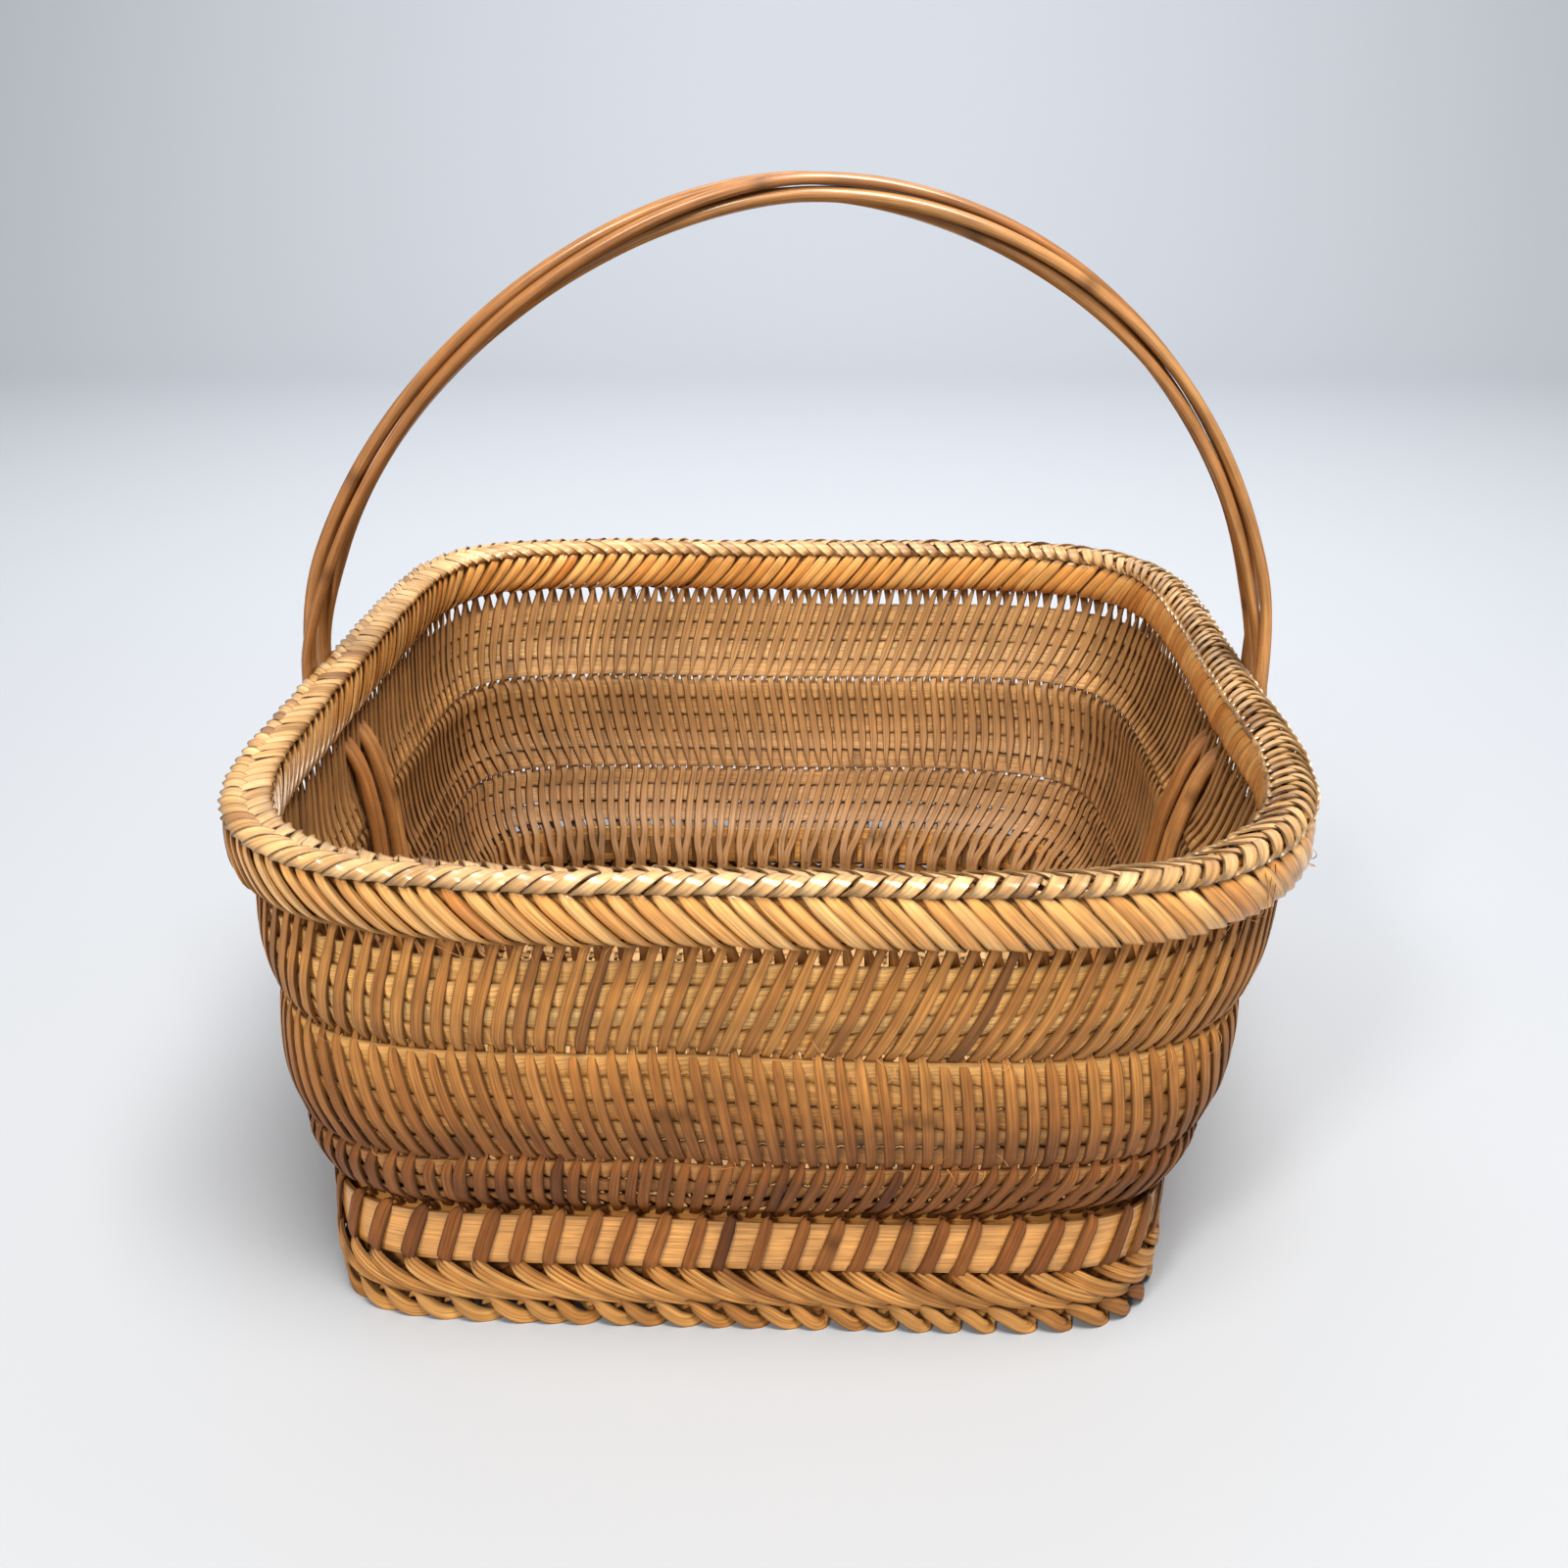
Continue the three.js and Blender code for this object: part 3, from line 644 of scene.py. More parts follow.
def row_tree(wrap: Tree, uneven: Tree) -> Tree:
    """Build the tree that repeats a flat strip in a row or a stack, varies each one and wraps them all.

    Args:
        wrap: the wrapping group.
        uneven: the group of slow unevenness.

    Returns:
        The tree.
    """
    tree = bpy.data.node_groups.new("row of splints", "GeometryNodeTree")
    group_inputs(tree, ROW_INPUTS)
    source = put(tree, "NodeGroupInput").outputs
    start = put(tree, "ShaderNodeCombineXYZ", None, {0: source["Start"], 1: 0.0, 2: source["Base"]})
    step = put(tree, "ShaderNodeCombineXYZ", None, {0: source["Spacing"], 1: 0.0, 2: source["Rise"]})
    line = put(
        tree,
        "GeometryNodeMeshLine",
        {"mode": "OFFSET"},
        {"Count": source["Count"], "Start Location": start.outputs[0], "Offset": step.outputs[0]},
    )
    reach = put(
        tree,
        "ShaderNodeCombineXYZ",
        None,
        {0: source["Side jitter"], 1: source["Depth jitter"], 2: source["Height jitter"]},
    ).outputs[0]
    under = put(tree, "ShaderNodeVectorMath", {"operation": "SCALE"}, {0: reach, "Scale": -1.0}).outputs[0]
    shake = put(
        tree,
        "FunctionNodeRandomValue",
        {"data_type": "FLOAT_VECTOR"},
        {"Min": under, "Max": reach, "Seed": source["Seed"]},
    )
    jittered = put(
        tree,
        "GeometryNodeSetPosition",
        None,
        {"Geometry": line.outputs[0], "Offset": shake.outputs["Value"]},
    )
    lot = put(tree, "ShaderNodeMath", {"operation": "ADD"}, {0: source["Seed"], 1: WIDTH_DRAW}).outputs[0]
    spread = put(tree, "FunctionNodeRandomValue", {"data_type": "FLOAT"}, {2: -1.0, 3: 1.0, "Seed": lot})
    wide = put(
        tree,
        "ShaderNodeMath",
        {"operation": "MULTIPLY_ADD"},
        {0: spread.outputs[1], 1: source["Width jitter"], 2: 1.0},
    ).outputs[0]
    size = put(tree, "ShaderNodeCombineXYZ", None, {0: wide, 1: 1.0, 2: 1.0}).outputs[0]
    copies = put(
        tree,
        "GeometryNodeInstanceOnPoints",
        None,
        {"Points": jittered.outputs[0], "Instance": source["Geometry"], "Scale": size},
    ).outputs[0]
    for name, high, number in (("tint", 1.0, TINT_DRAW), ("grain", GRAIN_RANGE, GRAIN_DRAW)):
        seed = put(tree, "ShaderNodeMath", {"operation": "ADD"}, {0: source["Seed"], 1: number})
        draw = put(
            tree,
            "FunctionNodeRandomValue",
            {"data_type": "FLOAT"},
            {2: 0.0, 3: high, "Seed": seed.outputs[0]},
        )
        stored = put(
            tree,
            "GeometryNodeStoreNamedAttribute",
            {"data_type": "FLOAT", "domain": "INSTANCE"},
            {"Geometry": copies, "Name": name, "Value": draw.outputs[1]},
        )
        copies = stored.outputs[0]
    solid = put(tree, "GeometryNodeRealizeInstances", None, {0: copies}).outputs[0]

    place = put(tree, "GeometryNodeInputPosition").outputs[0]
    flat = put(tree, "ShaderNodeSeparateXYZ", None, {0: place}).outputs
    grain = put(tree, "GeometryNodeInputNamedAttribute", {"data_type": "FLOAT"}, {"Name": "grain"}).outputs[0]
    line_up = put(
        tree,
        "ShaderNodeMath",
        {"operation": "MULTIPLY"},
        {0: flat["Z"], 1: WANDERS_PER_METRE},
    ).outputs[0]
    spot = put(tree, "ShaderNodeCombineXYZ", None, {0: grain, 1: line_up, 2: 0.0}).outputs[0]
    drift = put(
        tree,
        "ShaderNodeTexNoise",
        {"noise_dimensions": "3D"},
        {"Vector": spot, "Scale": 1.0, "Detail": 1.0},
    )
    middle = put(tree, "ShaderNodeMath", {"operation": "SUBTRACT"}, {0: drift.outputs[0], 1: 0.5})
    sway = put(
        tree,
        "ShaderNodeMath",
        {"operation": "MULTIPLY"},
        {0: middle.outputs[0], 1: source["Wander"]},
    ).outputs[0]
    bend = weave_bend(tree, source, flat)
    shift = put(tree, "ShaderNodeCombineXYZ", None, {0: sway, 1: bend, 2: 0.0}).outputs[0]
    swayed = put(tree, "GeometryNodeSetPosition", None, {"Geometry": solid, "Offset": shift}).outputs[0]

    wrapped = put(
        tree,
        "GeometryNodeGroup",
        {"node_tree": wrap},
        {"Geometry": swayed, "Wall share": source["Wall share"]},
    ).outputs[0]
    rough = put(tree, "GeometryNodeGroup", {"node_tree": uneven}, {"Geometry": wrapped}).outputs[0]
    joined = put(tree, "GeometryNodeMergeByDistance", None, {"Geometry": rough, "Distance": source["Seam"]})
    finish_tree(tree, joined.outputs[0], source["Material"])
    return tree


def weave_bend(tree: Tree, source: bpy.types.NodeOutputs, flat: bpy.types.NodeOutputs) -> Socket:
    """Lay out the nodes that bend a weaver in under each outer stake and out over each inner one.

    Args:
        tree: the tree.
        source: the tree's input sockets.
        flat: the sockets of the flat position.

    Returns:
        The socket of the shift along Y.
    """
    waves = []
    for side in (1.0, -1.0):
        lean = put(
            tree,
            "ShaderNodeMath",
            {"operation": "MULTIPLY"},
            {0: source["Weave lean"], 1: side},
        ).outputs[0]
        slid = put(
            tree,
            "ShaderNodeMath",
            {"operation": "MULTIPLY_ADD"},
            {0: flat["Z"], 1: lean, 2: flat["X"]},
        ).outputs[0]
        turns = put(tree, "ShaderNodeMath", {"operation": "DIVIDE"}, {0: slid, 1: source["Weave spacing"]})
        phase = put(tree, "ShaderNodeMath", {"operation": "MULTIPLY"}, {0: turns.outputs[0], 1: TAU})
        waves.append(put(tree, "ShaderNodeMath", {"operation": "COSINE"}, {0: phase.outputs[0]}).outputs[0])
    gap = put(tree, "ShaderNodeMath", {"operation": "SUBTRACT"}, {0: waves[0], 1: waves[1]}).outputs[0]
    return put(
        tree,
        "ShaderNodeMath",
        {"operation": "MULTIPLY"},
        {0: gap, 1: source["Weave depth"]},
    ).outputs[0]


def finish_tree(tree: Tree, geometry: Socket, material: Socket) -> None:
    """End a tree in smooth faces with crisp split edges, its material and its output.

    Args:
        tree: the tree.
        geometry: socket of the finished geometry.
        material: socket of its material.
    """
    faces = put(tree, "GeometryNodeSetShadeSmooth", None, {"Geometry": geometry, "Shade Smooth": True})
    angle = put(tree, "GeometryNodeInputMeshEdgeAngle").outputs[0]
    crisp = put(tree, "FunctionNodeCompare", {"data_type": "FLOAT"}, {0: angle, 1: CRISP_ANGLE})
    smooth = put(
        tree,
        "GeometryNodeSetShadeSmooth",
        {"domain": "EDGE"},
        {"Geometry": faces.outputs[0], "Selection": crisp.outputs[0], "Shade Smooth": False},
    )
    dressed = put(
        tree,
        "GeometryNodeSetMaterial",
        None,
        {"Geometry": smooth.outputs[0], "Material": material},
    )
    out = put(tree, "NodeGroupOutput")
    tree.links.new(dressed.outputs[0], out.inputs[0])


def grow(template: bpy.types.Object, tree: Tree, values: dict, name: str) -> bpy.types.Object:
    """Run a tree on a flat template and keep the result as a plain mesh.

    Args:
        template: the flat strip, used up here.
        tree: the tree.
        values: values of the tree's inputs, by name.
        name: the finished piece's name.

    Returns:
        The finished piece, at the origin.
    """
    modifier = template.modifiers.new("grow", "NODES")
    modifier.node_group = tree
    sockets = {s.name: s.identifier for s in tree.interface.items_tree if s.in_out == "INPUT"}
    for key, value in values.items():
        modifier[sockets[key]] = value
    template.update_tag()
    graph = bpy.context.evaluated_depsgraph_get()
    graph.update()
    mesh = bpy.data.meshes.new_from_object(template.evaluated_get(graph), depsgraph=graph)
    mesh.name = name
    old = template.data
    bpy.data.objects.remove(template)
    bpy.data.meshes.remove(old)
    piece = bpy.data.objects.new(name, mesh)
    bpy.context.scene.collection.objects.link(piece)
    return piece


# ---------------------------------------------------------------------------------------------------
# Finishes
# ---------------------------------------------------------------------------------------------------


class Surface(Enum):
    """Which face of the split culm shows."""

    SKIN = "outer skin, smooth and glossy"
    FLESH = "split inner face, fibrous and satin"


@dataclass(frozen=True)
class SplitBamboo:
    """Hand-split bamboo, aged golden to orange brown.

    Splitting leaves long parallel fibres, so the eye sees fine lengthwise lines; the outer skin keeps a
    waxy gloss, and each splint came from another culm, so neighbours differ in colour. Real fibres are
    about 0.2 mm across, and are drawn two or three times as wide so that they show.
    """

    name: str
    pale: str
    middle: str
    dark: str
    surface: Surface = Surface.FLESH
    fibre_mm: float = 0.45
    fibre_length_mm: float = 28.0
    node_every_m: float = 0.9
    grime: float = 0.14
    # Brightness left at a splint's edges: painted shade where neighbouring splints would shade it.
    edge_shade: float = 0.62
    # Share of greyish brown on faces looking into the basket: dust and painted shade.
    inside_dust_and_shade: float = 0.0
    # Share of painted shade that darkens the lower wall towards the foot.
    low_painted_shade: float = 0.0
    streak_mm: tuple[float, float] = (1.6, 60.0)
    blotch_mm: tuple[float, float] = (9.0, 14.0)
    fibre_contrast: tuple[float, float] = (0.58, 1.18)
    blotch_contrast: tuple[float, float] = (0.86, 1.08)

    def make(self) -> bpy.types.Material:
        """Build the material.

        Returns:
            The material, read from the splint, tint and grain attributes.
        """
        material = bpy.data.materials.new(self.name)
        material.use_nodes = True
        tree = material.node_tree
        tree.nodes.clear()
        splint = put(tree, "ShaderNodeAttribute", {"attribute_name": "splint"}).outputs["Vector"]
        drawn = put(tree, "ShaderNodeAttribute", {"attribute_name": "tint"}).outputs["Fac"]
        own = put(tree, "ShaderNodeSeparateXYZ", None, {0: splint}).outputs["Z"]
        moved = put(tree, "ShaderNodeMath", {"operation": "ADD"}, {0: drawn, 1: own}).outputs[0]
        tint = put(tree, "ShaderNodeMath", {"operation": "FRACT"}, {0: moved}).outputs[0]
        grain = put(tree, "ShaderNodeAttribute", {"attribute_name": "grain"}).outputs["Fac"]
        apart = put(tree, "ShaderNodeCombineXYZ", None, {0: 0.0, 1: 0.0, 2: grain}).outputs[0]
        fibre_size = (self.fibre_mm, self.fibre_length_mm)
        fibres = self.stretched_noise(tree, splint, apart, fibre_size, 3.0)
        streaks = self.stretched_noise(tree, splint, apart, self.streak_mm, 2.0)
        blotches = self.stretched_noise(tree, splint, apart, self.blotch_mm, 2.0)

        shade = put(tree, "ShaderNodeMath", {"operation": "MULTIPLY_ADD"}, {0: streaks, 1: 0.6, 2: -0.3})
        evened = put(
            tree,
            "ShaderNodeMapRange",
            {"interpolation_type": "SMOOTHERSTEP"},
            {"Value": tint, "From Min": -0.07, "From Max": 0.15, "To Min": 0.0, "To Max": 0.34},
        ).outputs[0]
        toned = put(tree, "ShaderNodeMath", {"operation": "MULTIPLY_ADD"}, {0: tint, 1: 0.45, 2: evened})
        mixed = put(tree, "ShaderNodeMath", {"operation": "ADD"}, {0: toned.outputs[0], 1: shade.outputs[0]})
        ramp = put(tree, "ShaderNodeValToRGB", None, {0: mixed.outputs[0]})
        stops = ramp.color_ramp.elements
        stops[0].position = 0.05
        stops[0].color = srgb(self.dark)
        stops[1].position = 0.95
        stops[1].color = srgb(self.pale)
        centre = stops.new(0.5)
        centre.color = srgb(self.middle)

        lines = put(tree, "ShaderNodeMapRange", None, self.spread(fibres, *self.fibre_contrast)).outputs[0]
        patches = put(
            tree,
            "ShaderNodeMapRange",
            None,
            self.spread(blotches, *self.blotch_contrast),
        ).outputs[0]
        both = put(tree, "ShaderNodeMath", {"operation": "MULTIPLY"}, {0: lines, 1: patches}).outputs[0]
        node_line = self.node_scar(tree, splint, grain)
        scarred = put(tree, "ShaderNodeMath", {"operation": "MULTIPLY"}, {0: both, 1: node_line}).outputs[0]
        handled = self.handling(tree)
        aged = put(tree, "ShaderNodeMath", {"operation": "MULTIPLY"}, {0: scarred, 1: handled}).outputs[0]
        # Painted shade: each splint is darkened towards its edges, where its neighbours would shade it.
        edge = put(tree, "ShaderNodeAttribute", {"attribute_name": "edge"}).outputs["Fac"]
        edge_painted_shade = put(
            tree,
            "ShaderNodeMapRange",
            {"clamp": True},
            {"Value": edge, "From Min": 0.68, "From Max": 1.0, "To Min": 1.0, "To Max": self.edge_shade},
        ).outputs[0]
        aged_and_edge_shaded = put(tree, "ShaderNodeMath", {"operation": "MULTIPLY"}, {0: aged, 1: edge_painted_shade}).outputs[0]
        base = ramp.outputs[0]
        # Painted shade: the wall is multiplied darker towards the foot, where less light falls.
        if self.low_painted_shade:
            base = put(
                tree,
                "ShaderNodeMix",
                {"data_type": "RGBA", "blend_type": "MULTIPLY"},
                {0: self.low_shade_share(tree), 6: base, 7: srgb("c7b5a8")},
            ).outputs[2]
        # Partly dust and partly painted shade: faces looking into the basket are pulled towards greyish
        # brown.
        if self.inside_dust_and_shade:
            base = put(
                tree,
                "ShaderNodeMix",
                {"data_type": "RGBA"},
                {0: self.inside_dust_and_shade_share(tree), 6: base, 7: srgb("b08e66")},
            ).outputs[2]
        colour = put(
            tree,
            "ShaderNodeVectorMath",
            {"operation": "SCALE"},
            {0: base, "Scale": aged_and_edge_shaded},
        ).outputs[0]

        glossy = self.surface is Surface.SKIN
        roughest, smoothest = (0.38, 0.24) if glossy else (0.62, 0.46)
        rough = put(tree, "ShaderNodeMapRange", None, self.spread(fibres, roughest, smoothest)).outputs[0]
        bump = put(
            tree,
            "ShaderNodeBump",
            None,
            {"Strength": 0.35 if glossy else 0.6, "Distance": 0.12 * MM, "Height": fibres},
        ).outputs[0]
        shader = put(
            tree,
            "ShaderNodeBsdfPrincipled",
            None,
            {
                "Base Color": colour,
                "Roughness": rough,
                "Normal": bump,
                "IOR": 1.48,
                "Specular IOR Level": 0.5 if glossy else 0.4,
                "Coat Weight": 0.3 if glossy else 0.0,
                "Coat Roughness": 0.2,
            },
        )
        out = put(tree, "ShaderNodeOutputMaterial")
        tree.links.new(shader.outputs[0], out.inputs[0])
        return material

    def spread(self, noise: Socket, low: float, high: float) -> dict:
        """Give the inputs that stretch the middle of a noise, where most of it lies, over a range.

        Args:
            noise: the noise's socket.
            low: the number that its dark parts become.
            high: the number that its light parts become.

        Returns:
            The inputs of a Map Range node.
        """
        return {"Value": noise, "From Min": 0.3, "From Max": 0.7, "To Min": low, "To Max": high}

    def stretched_noise(
        self, tree: Tree, splint: Socket, apart: Socket, size_mm: tuple[float, float], detail: float
    ) -> Socket:
        """Lay noise along the splint, a different stretch of it on every splint.

        Args:
            tree: the material's tree.
            splint: socket of the measure across and along the splint.
            apart: socket of the vector that sets splints apart.
            size_mm: size of its grains across and along, in millimetres.
            detail: the noise's detail.

        Returns:
            The noise's socket.
        """
        scale = (1 / (size_mm[0] * MM), 1 / (size_mm[1] * MM), 0.0)
        scaled = put(tree, "ShaderNodeVectorMath", {"operation": "MULTIPLY"}, {0: splint, 1: scale})
        placed = put(tree, "ShaderNodeVectorMath", {"operation": "ADD"}, {0: scaled.outputs[0], 1: apart})
        return put(
            tree,
            "ShaderNodeTexNoise",
            {"noise_dimensions": "3D"},
            {"Vector": placed.outputs[0], "Scale": 1.0, "Detail": detail, "Roughness": 0.55},
        ).outputs[0]

    def node_scar(self, tree: Tree, splint: Socket, grain: Socket) -> Socket:
        """Darken a narrow band where the culm's node crosses the splint, at a place of its own on each.

        Args:
            tree: the material's tree.
            splint: socket of the measure across and along the splint.
            grain: socket of the number that sets splints apart.

        Returns:
            The socket of the brightness.
        """
        shift = 0.37
        scar, clear = 0.6 * MM, 5.0 * MM
        along = put(tree, "ShaderNodeSeparateXYZ", None, {0: splint}).outputs["Y"]
        offset = put(tree, "ShaderNodeMath", {"operation": "MULTIPLY_ADD"}, {0: grain, 1: shift, 2: along})
        phase = put(
            tree,
            "ShaderNodeMath",
            {"operation": "WRAP"},
            {0: offset.outputs[0], 1: self.node_every_m / 2, 2: -self.node_every_m / 2},
        )
        away = put(tree, "ShaderNodeMath", {"operation": "ABSOLUTE"}, {0: phase.outputs[0]}).outputs[0]
        return put(
            tree,
            "ShaderNodeMapRange",
            {"clamp": True},
            {"Value": away, "From Min": scar, "From Max": clear, "To Min": 0.62, "To Max": 1.0},
        ).outputs[0]

    def inside_dust_and_shade_share(self, tree: Tree) -> Socket:
        """Share of greyish brown on the faces that look into the basket: partly dust where nobody wipes,
        partly painted shade for the dimmer light inside.

        Args:
            tree: the material's tree.

        Returns:
            The share's socket.
        """
        place = put(tree, "ShaderNodeTexCoord").outputs
        level = put(
            tree,
            "ShaderNodeVectorMath",
            {"operation": "MULTIPLY"},
            {0: place["Object"], 1: (1.0, 1.0, 0.0)},
        )
        ray = put(tree, "ShaderNodeVectorMath", {"operation": "NORMALIZE"}, {0: level.outputs[0]}).outputs[0]
        facing = put(tree, "ShaderNodeVectorMath", {"operation": "DOT_PRODUCT"}, {0: ray, 1: place["Normal"]})
        return put(
            tree,
            "ShaderNodeMapRange",
            {"clamp": True},
            {
                "Value": facing.outputs["Value"],
                "From Min": 0.1,
                "From Max": -0.5,
                "To Min": 0.0,
                "To Max": self.inside_dust_and_shade,
            },
        ).outputs[0]

    def low_shade_share(self, tree: Tree) -> Socket:
        """Share of painted shade on the lower wall, standing in for the light that falls off towards the
        foot; none at the upper tier.

        Args:
            tree: the material's tree.

        Returns:
            The share's socket.
        """
        place = put(tree, "ShaderNodeTexCoord").outputs["Object"]
        height = put(tree, "ShaderNodeSeparateXYZ", None, {0: place}).outputs["Z"]
        return put(
            tree,
            "ShaderNodeMapRange",
            {"clamp": True},
            {
                "Value": height,
                "From Min": 132 * MM,
                "From Max": 82 * MM,
                "To Min": 0.0,
                "To Max": self.low_painted_shade,
            },
        ).outputs[0]

    def handling(self, tree: Tree) -> Socket:
        """Darken broad patches of the basket, as handling does over the years.

        Args:
            tree: the material's tree.

        Returns:
            The socket of the brightness.
        """
        place = put(tree, "ShaderNodeTexCoord").outputs["Object"]
        noise = put(
            tree,
            "ShaderNodeTexNoise",
            {"noise_dimensions": "3D"},
            {"Vector": place, "Scale": 26.0, "Detail": 3.0, "Roughness": 0.6},
        ).outputs[0]
        return put(
            tree,
            "ShaderNodeMapRange",
            {"clamp": True},
            {"Value": noise, "From Min": 0.35, "From Max": 0.65, "To Min": 1.0 - self.grime, "To Max": 1.06},
        ).outputs[0]


# The culm's own skin, wound tight: the palest and glossiest part, with dark lines between its turns that are
# partly painted shade along each strip's edges.
LASHING_SKIN = SplitBamboo(
    "bamboo skin, wound",
    "ffcf8a",
    "f3b267",
    "ca8443",
    Surface.SKIN,
    fibre_mm=0.6,
    node_every_m=3.0,
    grime=0.1,
    edge_shade=0.4,
)
# The same skin along the top, where hands and dust have greyed it.
PLAIT_SKIN = SplitBamboo(
    "bamboo skin, plaited",
    "e2bd8c",
    "cca26e",
    "98704a",
    Surface.SKIN,
    fibre_mm=0.6,
    node_every_m=3.0,
    edge_shade=0.4,
)
# Split inner wood: satin brown with coarse fibres, greyer inside with dust and painted shade, and darker
# towards the foot with painted shade.
STAKE_FLESH = SplitBamboo(
    "bamboo stake, split",
    "d89d58",
    "c08444",
    "916032",
    fibre_mm=0.6,
    edge_shade=0.55,
    inside_dust_and_shade=0.7,
    low_painted_shade=1.0,
)
# Thin pale splints that show as golden dashes between the stakes, with a node mark now and then. Like the
# stakes, greyer inside with dust and painted shade, and darker towards the foot with painted shade.
WEAVER_FLESH = SplitBamboo(
    "bamboo weaver, split",
    "ffd08c",
    "f8bc70",
    "d6934a",
    node_every_m=0.31,
    edge_shade=0.55,
    inside_dust_and_shade=0.7,
    low_painted_shade=1.0,
)
# Wide shaved splints with an even, golden, slightly glossy face.
HOOP_SKIN = SplitBamboo(
    "bamboo hoop, shaved", "f4be78", "e8aa62", "c88a48", Surface.SKIN, fibre_mm=0.8, node_every_m=0.4
)
# Rough splints that wear on the ground, with dark gaps between them and painted shade along their edges.
FOOT_FLESH = SplitBamboo(
    "bamboo foot strip, split", "e0ac68", "c48a4a", "8a582a", fibre_mm=0.6, edge_shade=0.45
)
# Matt and greyed by dust.
FLOOR_FLESH = SplitBamboo("bamboo floor strip, dusty", "d6b184", "bd9766", "8f6a42")
# Round split cane, polished by the hand, browner than the wall.
CANE_SKIN = SplitBamboo(
    "handle cane, split", "c99a64", "a87546", "76502c", Surface.SKIN, node_every_m=0.23
)


# ---------------------------------------------------------------------------------------------------
# The basket's sub-assemblies
# ---------------------------------------------------------------------------------------------------


@dataclass
class Workshop:
    """What every sub-assembly is made with: the form and the shared trees."""

    form: BasketForm
    rows: Tree
    finishes: dict[str, bpy.types.Material] = field(default_factory=dict)

    def finish(self, kind: SplitBamboo) -> bpy.types.Material:
        """Return a finish's material, made once.

        Args:
            kind: the finish.

        Returns:
            Its material.
        """
        if kind.name not in self.finishes:
            self.finishes[kind.name] = kind.make()
        return self.finishes[kind.name]

    def row(
        self,
        name: str,
        strips: list[Strip],
        finish: SplitBamboo,
        grounded: bool = False,
        **values: float,
    ) -> bpy.types.Object:
        """Repeat flat strips round the basket.

        Args:
            name: the finished piece's name.
            strips: what is repeated.
            finish: its finish.
            grounded: true where the strips are pressed flat on the ground.
            values: inputs of the row tree that differ from a plain row of stakes.

        Returns:
            The finished piece.
        """
        given = {
            "Count": self.form.stakes,
            "Spacing": self.form.pitch,
            "Start": 0.0,
            "Rise": 0.0,
            "Base": 0.0,
            "Seed": 1,
            "Side jitter": 0.25 * MM,
            "Depth jitter": 0.08 * MM,
            "Height jitter": 0.25 * MM,
            "Width jitter": 0.0,
            "Wander": 0.0,
            "Weave depth": 0.0,
            "Weave spacing": self.form.pitch,
            "Weave lean": 0.0,
            "Wall share": 0.0,
            "Seam": 0.0,
            "Material": self.finish(finish),
        }
        given.update({key.replace("_", " ").capitalize(): v for key, v in values.items()})
        return grow(skin(name, strips, grounded), self.rows, given, name)

    def hand_over(self, piece: bpy.types.Object, slot: str, *nodes: str) -> None:
        """Tell the frame what a finished piece stands for, and report it.

        Args:
            piece: the finished piece.
            slot: name of the frame's material slot for the piece; not used.
            nodes: the frame's nodes it stands for.
        """
        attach(piece, "root")
        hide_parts(*nodes)
        triangles = sum(len(p.vertices) - 2 for p in piece.data.polygons)
        LOG.info("%s: %d triangles, stands for %s", piece.name, triangles, ", ".join(nodes))


class Leaning(Enum):
    """Which way a set of stakes leans as it rises, as a sign along the rim."""

    RIGHT = 1
    LEFT = -1


